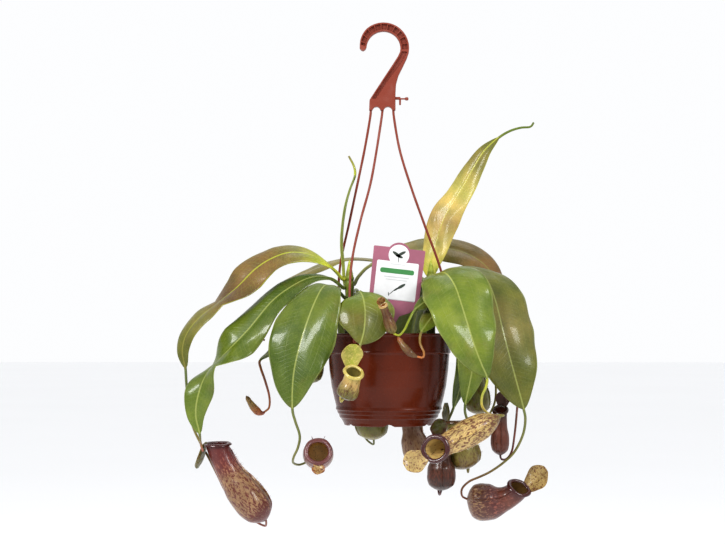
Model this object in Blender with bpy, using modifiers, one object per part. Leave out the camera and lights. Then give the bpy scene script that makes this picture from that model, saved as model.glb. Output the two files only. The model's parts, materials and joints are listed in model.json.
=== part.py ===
"""Hanging pitcher plant: a moulded pot on a three-legged hanger, with two leafy shoots and their pitchers.

Tables are in millimetres, measured from the centre of the pot's foot: +X right, +Y back, +Z up.
The finished part hangs with the inside of its hook at the world's origin, in metres.
"""

import math

import bmesh
import bpy
import numpy as np

MM = 0.001
GAP = 0.3  # clearance between pieces that touch
HOOK_SEAT = (-6.0, 0.0, 450.0)  # inside of the hook, where the rail lies

# Pot
POT_RIM_R = 71.0
POT_WALL = 1.6
POT_HEIGHT = 104.0
POT_SIDES = 36
FLOOR_Z = 5.0
FOOT_NOTCHES = 6
DRAIN_R = 4.0
CLIP_ANGLES = (6.0, 133.0, 239.0)  # degrees round the rim
CLIP_Z = 96.0
CLIP_HOLE_R = 2.4

# Hanger
HOOK_CENTRE = (-6.0, 430.5)
HOOK_INNER_R = 19.5
HOOK_OUTER_R = 29.5
HOOK_DEPTH = 8.0
SHANK_FOOT_Z = 360.0
LEG_R = 1.4

# Soil and shoots
SOIL_TOP = 88.0
STEM_R = 5.0
STEM_FOOT_Z = 56.0
STEM_TOP_Z = 170.0
STEMS = {"left": (-45.0, 0.0), "right": (48.0, 0.0)}

# Leaves
BLADE_THICK = 0.8
BLADE_STATIONS = (8, 10)  # for narrow leaves and for broad ones
BROAD = 40.0
RIB_R = 1.5
PETIOLE_R = 2.2
TENDRIL_R = 1.15
UP = (0, 0, 1)
FRONT = (0, -1, 0)

# Pitchers
WALL = 1.1
WING_ANGLE = 20.0

# Each leaf: the stem and height that it grows from, the line of its midrib, the line of its tendril,
# the greatest width, where along the blade that is, the share of the length that is narrow stalk, the depth
# of its ripples, and the way its upper face looks at places evenly spaced from foot to tip.
LEAVES = {
    "leaf_far_left": dict(
        stem="left", height=166, width=44, widest=0.55, stalk=0.04, wave=3.0,
        midrib=[(-66, -8, 180), (-88, -14, 192), (-111, -20, 195), (-132, -26, 188), (-151, -32, 175),
                (-170, -38, 155), (-190, -44, 138), (-210, -48, 122), (-224, -52, 104), (-229, -54, 85),
                (-226, -54, 66)],
        tendril=[(-225, -52, 48), (-223, -47, 25), (-219, -42, 1), (-211, -38, -18), (-201, -37, -36),
                 (-191, -39, -55), (-182, -43, -72), (-172, -43, -86), (-160, -39, -98), (-147, -38, -107),
                 (-138, -44, -110), (-136, -51, -107), (-136, -55, -103)],
        faces=[UP, (-.1, -.5, 1), (-.1, -.8, .6), (-.3, -.9, .6), (-.7, -.2, .8), (-1, -1, .3),
               (-.4, -1, .1)]),
    "leaf_left": dict(
        stem="left", height=156, width=46, widest=0.6, stalk=0.05, wave=4.0,
        midrib=[(-66, -12, 166), (-86, -20, 167), (-108, -30, 157), (-131, -42, 139), (-156, -54, 108),
                (-182, -62, 80), (-200, -66, 60), (-210, -68, 36), (-213, -66, 14), (-209, -64, -6)],
        tendril=[(-208, -66, -14), (-206, -70, -21), (-204, -74, -25)],
        faces=[UP, (0, -.5, 1), (-.2, -1, .6), (-.3, -1, .5), (-.3, -1, .6), (-.9, -.1, .6), (0, -1, .2),
               (.2, -1, .2)]),
    "leaf_back_left": dict(
        stem="right", height=158, width=34, widest=0.5, stalk=0.2, wave=2.0,
        midrib=[(37, 28, 168), (12, 50, 181), (-21, 60, 190), (-55, 62, 190), (-89, 60, 178),
                (-120, 56, 165), (-140, 50, 151), (-151, 42, 136), (-153, 36, 121)],
        tendril=[(-153, 36, 108), (-150, 40, 98), (-145, 44, 96)],
        faces=[UP, (0, -.1, 1), (-.1, -.15, 1), (-.3, -.2, 1), (-1, -.6, .6)]),
    "leaf_front_left": dict(
        stem="left", height=144, width=72, widest=0.58, stalk=0.08, wave=5.0,
        midrib=[(-60, -22, 154), (-71, -44, 157), (-80, -62, 142), (-90, -76, 115), (-98, -84, 88),
                (-104, -88, 57), (-105, -90, 23)],
        tendril=[(-102, -90, 9), (-97, -90, -7), (-99, -88, -20), (-104, -82, -31), (-105, -70, -38),
                 (-99, -59, -41), (-90, -52, -38), (-83, -53, -33), (-80, -58, -31)],
        faces=[(-.2, -.3, 1), (-.3, -1, .6), (-.2, -1, .2), (-.1, -1, .1)]),
    "leaf_front": dict(
        stem="left", height=132, width=64, widest=0.7, stalk=0.46, wave=2.0,
        midrib=[(-39, -22, 143), (-34, -44, 149), (-29, -64, 145), (-26, -77, 128), (-27, -85, 108),
                (-31, -89, 92)],
        tendril=[(-34, -88, 80), (-39, -85, 60), (-46, -83, 45), (-52, -86, 37), (-52, -93, 30),
                 (-49, -98, 33)],
        faces=[UP, (0, -.6, 1), (0, -1, .7), (0, -1, .2), (0, -1, .1)]),
    "leaf_tag": dict(
        stem="right", height=128, width=20, widest=0.6, stalk=0.35, wave=1.0,
        midrib=[(47, -22, 137), (49, -40, 141), (42, -56, 140), (29, -65, 130)],
        tendril=[(22, -72, 118), (17, -80, 108), (11, -87, 102), (6, -90, 104)],
        faces=[UP, (0, -.6, 1), (.2, -.8, 1), (.1, -1, .5)]),
    "leaf_rim": dict(
        stem="right", height=114, width=26, widest=0.6, stalk=0.3, wave=1.0,
        midrib=[(55, -22, 122), (56, -42, 126), (48, -62, 122), (36, -79, 106)],
        tendril=[(34, -87, 94), (38, -93, 84), (37, -97, 78), (31, -98, 79)],
        faces=[UP, (0, -.6, 1), (0, -.8, 1), (.1, -1, .5)]),
    "leaf_front_right": dict(
        stem="right", height=156, width=76, widest=0.48, stalk=0.06, wave=3.0,
        midrib=[(55, -26, 170), (64, -46, 170), (73, -64, 156), (80, -77, 134), (87, -86, 110), (94, -90, 88),
                (101, -89, 70), (107, -86, 56)],
        tendril=[(106, -84, 46), (102, -81, 36), (102, -76, 25), (108, -68, 17), (117, -62, 14),
                 (124, -63, 14), (126, -69, 14), (122, -74, 13)],
        faces=[(.1, -.6, 1), (.1, -1, .5), (.25, -1, .2), (.1, -1, .1)]),
    "leaf_right": dict(
        stem="right", height=164, width=80, widest=0.55, stalk=0.06, wave=3.0,
        midrib=[(66, -4, 173), (84, -3, 178), (100, -10, 174), (112, -21, 161), (120, -33, 138),
                (127, -45, 106), (135, -48, 75), (142, -48, 49), (150, -44, 20)],
        tendril=[(152, -42, 7), (149, -40, -10), (140, -38, -28), (127, -35, -41), (113, -31, -51),
                 (101, -28, -57), (90, -27, -62), (82, -28, -70), (82, -30, -78), (87, -30, -81)],
        faces=[UP, (.3, -.5, 1), (.4, -1, .4), (.3, -1, .1), (.2, -1, .1)]),
    "leaf_back_right": dict(
        stem="left", height=160, width=44, widest=0.6, stalk=0.12, wave=2.0,
        midrib=[(-34, 14, 170), (-20, 22, 183), (8, 40, 194), (40, 52, 202), (67, 56, 203), (93, 53, 196),
                (113, 48, 182), (127, 42, 160), (133, 36, 134)],
        tendril=[(137, 30, 101), (142, 18, 67), (147, 6, 37), (145, -3, 10), (142, -6, -15), (139, -8, -30),
                 (133, -10, -38), (127, -12, -38), (126, -12, -34)],
        faces=[UP, (0, -.6, 1), (0, -.8, .8), (.2, -.8, .8), (.9, -.5, .4)]),
    "leaf_upright": dict(
        stem="right", height=168, width=38, widest=0.42, stalk=0.03, wave=2.0,
        midrib=[(49, 18, 184), (54, 24, 204), (64, 26, 236), (76, 26, 256), (88, 26, 276), (99, 26, 296),
                (111, 26, 315), (127, 26, 330)],
        tendril=[(140, 26, 338), (153, 26, 342), (164, 26, 343), (168, 26, 348)],
        faces=[(-.4, -1, 0), (-.5, -1, .3), (-.5, -1, .4), (-.4, -1, .6)]),
    "leaf_spear": dict(
        stem="left", height=160, width=20, widest=0.4, stalk=0.05, wave=0.0,
        midrib=[(-52, 9, 182), (-54, 10, 205), (-53, 10, 226), (-50, 10, 248), (-45, 11, 267),
                (-39, 12, 285)],
        tendril=[(-40, 12, 296), (-46, 13, 308)],
        faces=[(1, .2, 0), (1, .15, 0), (1, .1, 0)]),
    "leaf_low_right": dict(
        stem="right", height=126, width=34, widest=0.5, stalk=0.15, wave=1.5,
        midrib=[(68, -6, 136), (84, -12, 132), (91, -17, 112), (88, -19, 81), (81, -18, 48), (73, -16, 20)],
        tendril=[(67, -14, 5), (61, -15, -14), (56, -17, -34), (54, -18, -52), (55, -24, -66),
                 (56, -33, -75), (57, -40, -75), (58, -44, -71)],
        faces=[UP, (.6, -.4, 1), (1, -.9, .2), (1, -.9, 0)]),
    "leaf_under_right": dict(
        stem="right", height=140, width=44, widest=0.5, stalk=0.12, wave=2.0,
        midrib=[(66, -14, 150), (81, -32, 145), (93, -45, 124), (96, -51, 98), (92, -52, 62), (85, -48, 26)],
        tendril=[(86, -41, 12), (92, -27, 2), (94, -14, -10), (93, -8, -24), (91, -8, -38),
                 (90, -14, -49), (89, -22, -52), (88, -27, -48)],
        faces=[UP, (.3, -.8, 1), (.3, -1, .1), (.2, -1, 0)]),
    "leaf_hidden_left": dict(
        stem="left", height=126, width=30, widest=0.5, stalk=0.2, wave=1.5,
        midrib=[(-64, 8, 132), (-84, 13, 132), (-104, 15, 116), (-122, 13, 96), (-136, 8, 82),
                (-147, 2, 73)],
        tendril=[(-146, -4, 65), (-141, -6, 51), (-136, -6, 33), (-136, -6, 20), (-141, -6, 15)],
        faces=[UP, (-.3, -.3, 1), (-.5, -.6, 1), (-.7, -.8, 1)]),
    "leaf_behind_right": dict(
        stem="right", height=134, width=46, widest=0.5, stalk=0.15, wave=2.0,
        midrib=[(62, 18, 146), (84, 33, 150), (104, 40, 138), (115, 42, 112), (117, 40, 86)],
        tendril=[(122, 38, 66), (124, 36, 46), (123, 34, 26), (117, 30, 12), (110, 25, 8), (105, 22, 11)],
        faces=[UP, (.3, .2, 1), (1, .4, .5), (1, .3, 0)]),
    "leaf_behind": dict(
        stem="right", height=148, width=54, widest=0.5, stalk=0.12, wave=2.5,
        midrib=[(48, 26, 158), (42, 54, 156), (34, 82, 134), (28, 97, 98), (26, 102, 58)],
        tendril=[(30, 104, 40), (37, 105, 10), (40, 104, -18), (39, 97, -39), (37, 88, -51), (35, 80, -53),
                 (34, 75, -49)],
        faces=[UP, (0, .6, 1), (0, 1, .4), (0, 1, .1)]),
    "leaf_behind_left": dict(
        stem="left", height=142, width=56, widest=0.62, stalk=0.3, wave=2.5,
        midrib=[(-41, 24, 152), (-36, 50, 152), (-34, 80, 128), (-33, 97, 88), (-32, 103, 50)],
        tendril=[(-36, 107, 34), (-40, 112, 14), (-36, 114, -8), (-28, 109, -22), (-21, 101, -28),
                 (-18, 94, -28), (-18, 90, -23)],
        faces=[UP, (0, .6, 1), (0, 1, .4), (0, 1, .1)]),
    "leaf_far_back": dict(
        stem="left", height=116, width=38, widest=0.5, stalk=0.15, wave=2.0,
        midrib=[(-60, 20, 125), (-76, 36, 128), (-92, 48, 112), (-100, 52, 88), (-104, 50, 66)],
        tendril=[(-107, 47, 56), (-106, 40, 50), (-100, 31, 45), (-93, 24, 43), (-89, 19, 47)],
        faces=[UP, (-.3, .4, 1), (-.8, .6, .4), (-1, .4, .1)]),
}

# Each pitcher: the leaf whose tendril carries it, where its mouth is, the way the mouth opens,
# the way its front looks, its greatest radius, its mouth's radius, how far the lid is open in degrees,
# how far its line runs on from the tendril and back from the mouth before it bends, and its shape.
PITCHERS = {
    "pitcher_large_left": dict(leaf="leaf_far_left", mouth=(-190, -57, -19), out=(-.28, -.05, 1),
                               front=(1, -.2, 0), radius=19, mouth_r=12.5, lid=235, lid_size=1.0,
                               bend=(8, 46), shape="round", points=14),
    "pitcher_facing": dict(leaf="leaf_front_left", mouth=(-76, -111, -23), out=(.05, -1, .2),
                           front=(0, 0, 1), radius=17, mouth_r=12.5, lid=150, lid_size=0.5,
                           bend=(6, 16), shape="round", points=14),
    "pitcher_yellow_lid": dict(leaf="leaf_front", mouth=(-38, -106, 62), out=(.15, -.45, 1),
                               front=(.4, -1, 0), radius=12, mouth_r=9.5, lid=100, lid_size=1.15,
                               bend=(4, 14), shape="round", points=14),
    "pitcher_tag": dict(leaf="leaf_tag", mouth=(-6, -94, 134), out=(-.4, -.2, 1),
                        front=(.2, -1, 0), radius=6.5, mouth_r=4.4, lid=60, lid_size=1.0,
                        bend=(3, 12), shape="round", points=10),
    "pitcher_tan": dict(leaf="leaf_front_right", mouth=(50, -108, -20), out=(-.5, -1, -.05),
                        front=(1, -.3, .7), radius=15.5, mouth_r=12.5, lid=140, lid_size=0.9,
                        bend=(8, 28), shape="tapered", points=14),
    "pitcher_large_right": dict(leaf="leaf_right", mouth=(145, -40, -68), out=(.55, -.35, .75),
                                front=(-.6, -1, .6), radius=21, mouth_r=11.5, lid=100, lid_size=1.15,
                                bend=(7, 30), shape="round", points=14),
    "pitcher_narrow": dict(leaf="leaf_back_right", mouth=(126, -16, 17), out=(0, -.35, 1),
                           front=(-.3, -1, 0), radius=10.5, mouth_r=7.5, lid=110, lid_size=1.0,
                           bend=(4, 18), shape="round", points=10),
    "pitcher_dark": dict(leaf="leaf_low_right", mouth=(58, -50, -14), out=(0, -.3, 1),
                         front=(.4, -1, 0), radius=16, mouth_r=9, lid=80, lid_size=1.0,
                         bend=(4, 22), shape="round", points=10),
    "pitcher_olive": dict(leaf="leaf_under_right", mouth=(73, -30, 4), out=(-.3, .1, 1),
                          front=(1, -.4, 0), radius=18, mouth_r=10, lid=70, lid_size=1.0,
                          bend=(4, 22), shape="round", points=10),
    "pitcher_behind_right": dict(leaf="leaf_behind_right", mouth=(99, 16, 66), out=(-.1, 0, 1),
                                 front=(1, .3, 0), radius=14, mouth_r=9, lid=70, lid_size=1.0,
                                 bend=(6, 22), shape="round", points=10),
    "pitcher_grey": dict(leaf="leaf_behind", mouth=(22, 72, 12), out=(-.2, .1, 1),
                         front=(1, .2, 0), radius=15, mouth_r=9, lid=70, lid_size=1.0,
                         bend=(4, 22), shape="round", points=10),
    "pitcher_under": dict(leaf="leaf_behind_left", mouth=(-20, 82, 44), out=(.1, .1, 1),
                          front=(-1, .3, 0), radius=19, mouth_r=10, lid=70, lid_size=1.0,
                          bend=(4, 26), shape="round", points=10),
    "pitcher_beside": dict(leaf="leaf_far_back", mouth=(-83, 10, 98), out=(0, -.1, 1),
                           front=(-.6, 1, 0), radius=11, mouth_r=7.5, lid=70, lid_size=1.0,
                           bend=(4, 16), shape="round", points=10),
}

# Pitchers still in bud: solid, with the lid sealed down.
BUDS = {
    "bud_left": dict(leaf="leaf_hidden_left", tip=(-162, -8, 33), radius=4.5),
    "bud_rim": dict(leaf="leaf_rim", tip=(10, -93, 100), radius=4.2),
}


def unit(v):
    """The vector, or each vector of a list, at length one."""
    v = np.asarray(v, float)
    return v / np.linalg.norm(v, axis=-1, keepdims=True)


def smooth_line(points, samples=24):
    """A Catmull-Rom curve through the points, as many closely spaced points."""
    p = np.asarray(points, float)
    p = np.vstack([2 * p[0] - p[1], p, 2 * p[-1] - p[-2]])
    t = np.linspace(0, 1, samples, endpoint=False)[:, None]
    spans = []
    for a, b, c, d in zip(p, p[1:], p[2:], p[3:]):
        spans.append(0.5 * (2 * b + (c - a) * t + (2 * a - 5 * b + 4 * c - d) * t**2
                            + (3 * b - a - 3 * c + d) * t**3))
    return np.vstack([*spans, p[-2:-1]])


def along(line, places):
    """Points and unit tangents of a line at places from 0 to 1 of its length."""
    run = np.concatenate([[0], np.cumsum(np.linalg.norm(np.diff(line, axis=0), axis=1))])
    run /= run[-1]
    tangent = unit(np.gradient(line, axis=0))
    points = np.column_stack([np.interp(places, run, line[:, k]) for k in range(3)])
    tangents = np.column_stack([np.interp(places, run, tangent[:, k]) for k in range(3)])
    return points, unit(tangents)


def hints_at(hints, places):
    """Direction hints evenly spaced from 0 to 1, read at these places."""
    hints = unit(hints)
    own = np.linspace(0, 1, len(hints))
    return np.column_stack([np.interp(places, own, hints[:, k]) for k in range(3)])


def square_to(tangents, hints):
    """Each hint made square to its tangent, and the sideways direction that goes with it."""
    normals = unit(hints - np.sum(hints * tangents, axis=1, keepdims=True) * tangents)
    return normals, np.cross(tangents, normals)


def blade_ring(centre, normal, side, half, lift, thick, rib):
    """Ten points round a blade: five across its upper face and five back across its lower one."""
    across = np.array([-1, -0.5, 0, 0.5, 1])
    upper = [centre + side * half * v + normal * (lift(v) + thick / 2) for v in across]
    keel = np.where(across == 0, rib, 0)
    lower = [centre + side * half * v + normal * (lift(v) - thick / 2 - k) for v, k in zip(across, keel)]
    return upper + lower[::-1]


def round_ring(centre, normal, side, radius, count, turn=0.0):
    """Points round a circle, going the same way as blade_ring."""
    angles = np.radians(turn) - 2 * math.pi * np.arange(count) / count
    return [centre + radius * (side * math.cos(a) + normal * math.sin(a)) for a in angles]


def bridge(bm, a, b):
    """Triangles between two rings of equal count, or where one has twice as many points as the other."""
    count = max(len(a), len(b))
    step_a, step_b = count // len(a), count // len(b)
    for i in range(count):
        j = (i + 1) % count
        a0, a1, b0, b1 = a[i // step_a], a[j // step_a], b[i // step_b], b[j // step_b]
        # The lower half is cut the other way, so that both faces of a thin blade are split alike.
        halves = [(a0, a1, b1), (a0, b1, b0)] if i < count // 2 else [(a0, a1, b0), (a1, b1, b0)]
        for corners in halves:
            if len(set(corners)) == 3:
                bm.faces.new(corners)


def skin(name, rings):
    """A closed mesh over a row of rings, capped at both ends."""
    bm = bmesh.new()
    loops = [[bm.verts.new(np.asarray(p) * MM) for p in ring] for ring in rings]
    for a, b in zip(loops, loops[1:]):
        bridge(bm, a, b)
    bm.faces.new(loops[0])
    bm.faces.new(loops[-1][::-1])
    bmesh.ops.recalc_face_normals(bm, faces=bm.faces)
    mesh = bpy.data.meshes.new(name)
    bm.to_mesh(mesh)
    bm.free()
    return mesh


def leaf_lines(leaf):
    """The midrib from the stem's surface to the blade's tip, and the tendril on from there."""
    x, y = STEMS[leaf["stem"]]
    axis = np.array([x, y, leaf["height"]], float)
    out = np.asarray(leaf["midrib"][0], float) - axis
    out[2] = 0
    out = unit(out)
    foot = axis + out * (STEM_R + GAP)
    midrib = [foot, foot + out * 3.5, *leaf["midrib"]]
    whole = smooth_line([*midrib, *leaf["tendril"]])
    split = (len(midrib) - 1) * 24
    return whole[: split + 1], whole[split:]


def half_width(t, leaf):
    """Half the blade's width at a share of its length: a narrow stalk, then a long oval."""
    u = np.clip((t - leaf["stalk"]) / (1 - leaf["stalk"]), 0, 1)
    u **= math.log(0.5) / math.log((leaf["widest"] - leaf["stalk"]) / (1 - leaf["stalk"]))
    return PETIOLE_R + (leaf["width"] / 2 - PETIOLE_R) * np.sin(math.pi * u) ** 0.75


def leaf_rings(leaf):
    midrib, tendril = leaf_lines(leaf)
    places = np.linspace(0, 1, BLADE_STATIONS[leaf["width"] >= BROAD] + 2)
    points, tangents = along(midrib, places)
    normals, sides = square_to(tangents, hints_at(leaf["faces"], places))
    rings = [round_ring(points[0], normals[0], sides[0], PETIOLE_R, 5, 144)]
    for k in range(1, len(places) - 1):
        half = half_width(places[k], leaf)
        ripple = leaf["wave"] * math.sin(math.pi * places[k]) * math.sin(math.tau * 2 * places[k])

        def lift(v, half=half, ripple=ripple):
            return half * (0.3 * abs(v) - 0.35 * v * v) + ripple * v * abs(v)

        rings.append(blade_ring(points[k], normals[k], sides[k], half, lift, BLADE_THICK, RIB_R))
    count = max(3, len(leaf["tendril"]) + 2)
    ends = np.linspace(0, 1, count)
    points, tangents = along(tendril, ends)
    normal = normals[-1]
    for k in range(count):
        normal = unit(normal - np.dot(normal, tangents[k]) * tangents[k])
        side = np.cross(tangents[k], normal)
        radius = RIB_R + (TENDRIL_R - RIB_R) * ends[k]
        rings.append(round_ring(points[k], normal, side, radius, 5, 144))
    return rings


def pitcher_line(pitcher):
    """The cup's centre line, from just past the tendril's end, round its bend, to the mouth."""
    line = leaf_lines(LEAVES[pitcher["leaf"]])[1]
    start = unit(line[-1] - line[-2])
    foot = line[-1] + start * GAP
    mouth = np.asarray(pitcher["mouth"], float)
    t = np.linspace(0, 1, 80)[:, None]
    first, second = foot + start * pitcher["bend"][0], mouth - unit(pitcher["out"]) * pitcher["bend"][1]
    return (1 - t)**3 * foot + 3 * (1 - t)**2 * t * first + 3 * (1 - t) * t**2 * second + t**3 * mouth


CUP_PLACES = (0.0, 0.05, 0.13, 0.27, 0.44, 0.62, 0.8, 1.0)
# Belly size at those places, as shares of the greatest radius, with the mouth's share after it.
CUP_SHAPES = {
    "round": ((0.0, 0.55, 0.88, 1.0, 0.95, 0.42, 0.15, 0.0), (0, 0, 0, 0, 0, 0.5, 0.8, 1.0)),
    "tapered": ((0.0, 0.34, 0.64, 0.92, 1.0, 0.7, 0.2, 0.0), (0, 0, 0, 0, 0, 0.26, 0.7, 1.0)),
}
# Angles round a cup from the middle of its front; the wings stand at the two angles of +-WING_ANGLE.
CUP_ANGLES = {
    14: (-26, -20, -14, 0, 14, 20, 26, 62, 98, 138, 180, 222, 262, 298),
    10: (-20, -8, 8, 20, 62, 106, 150, 196, 244, 292),
    7: (-20, 20, 62, 112, 160, 208, 270),
    5: (-20, 35, 106, 178, 250),
}


def cup_radius(s, pitcher):
    """Radius at a share of the cup's length: a small foot, a full belly, a waist and a mouth."""
    belly, mouth = CUP_SHAPES[pitcher["shape"]]
    size = np.asarray(belly) * pitcher["radius"] + np.asarray(mouth) * pitcher["mouth_r"]
    size[0] = 1.4
    return float(np.interp(s, CUP_PLACES, size))


def flat_share(a, count):
    """Where the flat between two corners of a ring lies at this angle, as a share of the corners' radius."""
    corners = (*CUP_ANGLES[count], CUP_ANGLES[count][0] + 360)
    low, high = next(pair for pair in zip(corners, corners[1:]) if pair[0] <= a <= pair[1])
    return math.cos(math.radians(high - low) / 2) / math.cos(math.radians(a - (low + high) / 2))


def cup_ring(centre, tangent, normal, radius, wing, slant, count, wall=0.0):
    """Points round the cup: the front has two wings, and the back stands higher by the slant.

    An inner ring has half as many points as the outer one, and lies in from its flats by the wall.
    """
    side = np.cross(tangent, normal)
    ring = []
    for a in CUP_ANGLES[count]:
        r = radius + (wing if abs(a) == WING_ANGLE else 0)
        if wall:
            r = radius * flat_share(a, 2 * count) - wall
        c, s = math.cos(math.radians(a)), math.sin(math.radians(a))
        ring.append(centre + r * (normal * c + side * s) - tangent * slant * radius * c)
    return ring


def pitcher_rings(pitcher):
    line = pitcher_line(pitcher)
    m, count = pitcher["mouth_r"], pitcher["points"]
    fronts = np.tile(unit(pitcher["front"]), (len(CUP_PLACES), 1))

    def rings_at(places, wall, wings, count):
        # Every ring is centred on the straight runs between the outer ones, so that walls stay parallel.
        corners, _ = along(line, CUP_PLACES)
        points = np.column_stack([np.interp(places, CUP_PLACES, corners[:, k]) for k in range(3)])
        # Below the belly the rings stay parallel, so the foot may sit to one side.
        _, tangents = along(line, [s if s == 0 else max(s, CUP_PLACES[3]) for s in places])
        normals, _ = square_to(tangents, fronts[: len(places)])
        made = []
        for s, p, t, n in zip(places, points, tangents, normals):
            wing = wings * math.sin(math.pi * min(1, max(0, (s - 0.05) / 0.9))) ** 0.5
            slant = 0.25 * s**3
            shrink = wall * max(1, 0.44 / s) ** 1.5 if wall else 0  # thicker towards the foot
            made.append(cup_ring(p, t, n, cup_radius(s, pitcher), wing, slant, count, shrink))
        return made

    rings = rings_at(CUP_PLACES, 0, 0.12 * pitcher["radius"], count)
    points, tangents = along(line, [1.0])
    normals, _ = square_to(tangents, fronts[:1])
    for radius, rise in ((1.24 * m, -0.5), (1.2 * m, 1.1), (0.86 * m, 1.2)):
        centre = points[0] + tangents[0] * rise
        rings.append(cup_ring(centre, tangents[0], normals[0], radius, 0, 0.25, count))
    rings += rings_at((0.8, 0.62, 0.44, 0.27, 0.2), WALL, 0, count // 2)
    return rings


def lid_rings(pitcher):
    """A rounded lid on a short neck, hinged at the back of the mouth and opened by the lid angle."""
    points, tangents = along(pitcher_line(pitcher), [1.0])
    normals, sides = square_to(tangents, unit([pitcher["front"]]))
    centre, axis, front, side = points[0], tangents[0], normals[0], sides[0]
    m = pitcher["mouth_r"]
    hinge = centre - front * m * 1.05 + axis * (0.25 * m + 0.4)
    angle = math.radians(pitcher["lid"])
    reach = front * math.cos(angle) + axis * math.sin(angle)
    face = -front * math.sin(angle) + axis * math.cos(angle)
    length = 2.3 * m * pitcher["lid_size"]
    rings = []
    places = (0.0, 0.1, 0.22, 0.4, 0.6, 0.8, 0.93, 1.0)
    for t in places if pitcher["points"] > 10 else (0.0, 0.15, 0.35, 0.65, 0.9, 1.0):
        half = 1.3 + (length / 2 - 1.3) * math.sin(math.pi * min(1, max(0, (t - 0.05) / 0.98))) ** 0.6
        dome = 0.12 * m * math.sin(math.pi * t)
        at = hinge + reach * (length * t) + face * dome - reach * 0.5

        def lift(v, half=half):
            return -0.18 * half * v * v

        rings.append(blade_ring(at, face, side, half, lift, 1.2, 0.0))
    return rings


def bud_rings(bud):
    """A slim closed pitcher: a teardrop from the tendril's end to its tip."""
    line = leaf_lines(LEAVES[bud["leaf"]])[1]
    start = unit(line[-1] - line[-2])
    foot = line[-1] + start * GAP
    tip = np.asarray(bud["tip"], float)
    reach = np.linalg.norm(tip - foot)
    t = np.linspace(0, 1, 40)[:, None]
    bend = foot + start * reach * 0.35
    curve = (1 - t)**2 * foot + 2 * (1 - t) * t * bend + t**2 * tip
    places = (0.0, 0.12, 0.3, 0.5, 0.7, 0.88, 1.0)
    sizes = (1.2, 0.6, 1.0, 0.95, 0.75, 0.6, 0.15)
    points, tangents = along(curve, places)
    hints = np.tile((0.1, -0.2, 1.0), (len(places), 1))
    normals, sides = square_to(tangents, hints)
    rings = []
    for k, size in enumerate(sizes):
        radius = size if k == 0 else size * bud["radius"]
        rings.append(round_ring(points[k], normals[k], sides[k], radius, 8))
    return rings


def material(name, colour, roughness, metallic=0.0):
    made = bpy.data.materials.new(name)
    made.use_nodes = True
    shader = made.node_tree.nodes["Principled BSDF"]
    shader.inputs["Base Color"].default_value = (*colour, 1)
    shader.inputs["Roughness"].default_value = roughness
    shader.inputs["Metallic"].default_value = metallic
    return made


def clear_scene():
    for obj in list(bpy.data.objects):
        bpy.data.objects.remove(obj)


def new_collection(name, hidden=False):
    made = bpy.data.collections.new(name)
    bpy.context.scene.collection.children.link(made)
    made.hide_render = hidden
    return made


def add_object(name, data, collection, finish=None, parent=None):
    obj = bpy.data.objects.new(name, data)
    collection.objects.link(obj)
    if finish:
        data.materials.append(finish)
    if parent:
        obj.parent = parent
    return obj


def helper(obj):
    obj.hide_render = True
    obj.display_type = "WIRE"
    return obj


def boolean(obj, others, operation, collection_name, solver="EXACT"):
    """One Boolean between the object and a collection of helpers, applied, with the helpers removed."""
    group = bpy.data.collections.new(collection_name)
    bpy.context.scene.collection.children.link(group)
    for other in others:
        for owner in list(other.users_collection):
            owner.objects.unlink(other)
        group.objects.link(other)
        helper(other)
    modifier = obj.modifiers.new(operation.title(), "BOOLEAN")
    modifier.operation = operation
    modifier.solver = solver
    modifier.operand_type = "COLLECTION"
    modifier.collection = group
    bpy.context.view_layer.update()
    graph = bpy.context.evaluated_depsgraph_get()
    mesh = bpy.data.meshes.new_from_object(obj.evaluated_get(graph), depsgraph=graph)
    obj.modifiers.clear()
    obj.data = mesh
    for other in others:
        bpy.data.objects.remove(other)
    bpy.data.collections.remove(group)
    return obj


def solid_from_curve(name, curve, collection):
    """The curve's solid as a welded mesh object."""
    temporary = bpy.data.objects.new(name + "_curve", curve)
    collection.objects.link(temporary)
    bpy.context.view_layer.update()
    graph = bpy.context.evaluated_depsgraph_get()
    mesh = bpy.data.meshes.new_from_object(temporary.evaluated_get(graph), depsgraph=graph)
    bpy.data.objects.remove(temporary)
    bm = bmesh.new()
    bm.from_mesh(mesh)
    bmesh.ops.remove_doubles(bm, verts=bm.verts, dist=1e-6)
    bmesh.ops.recalc_face_normals(bm, faces=bm.faces)
    bm.to_mesh(mesh)
    bm.free()
    return add_object(name, mesh, collection)


def wire(name, points, radius, collection, resolution=1):
    """A round rod along the points, as a closed mesh."""
    curve = bpy.data.curves.new(name, "CURVE")
    curve.dimensions = "3D"
    curve.bevel_depth = radius * MM
    curve.bevel_resolution = resolution
    curve.use_fill_caps = True
    spline = curve.splines.new("POLY")
    spline.points.add(len(points) - 1)
    for point, target in zip(spline.points, points):
        point.co = (*(np.asarray(target) * MM), 1)
    return solid_from_curve(name, curve, collection)


def plate(name, outline, depth, collection, y=0.0):
    """A flat plate with this outline in the XZ plane, half its depth each way from y."""
    curve = bpy.data.curves.new(name, "CURVE")
    curve.dimensions = "2D"
    curve.fill_mode = "BOTH"
    curve.extrude = depth * MM / 2
    spline = curve.splines.new("POLY")
    spline.points.add(len(outline) - 1)
    spline.use_cyclic_u = True
    for point, (x, z) in zip(spline.points, outline):
        point.co = (x * MM, z * MM, 0, 1)
    obj = solid_from_curve(name, curve, collection)
    # The outline is drawn in XY, so it is stood up and moved to its depth.
    for vertex in obj.data.vertices:
        x, z, d = vertex.co
        vertex.co = (x, y * MM - d, z)
    return obj


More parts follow.
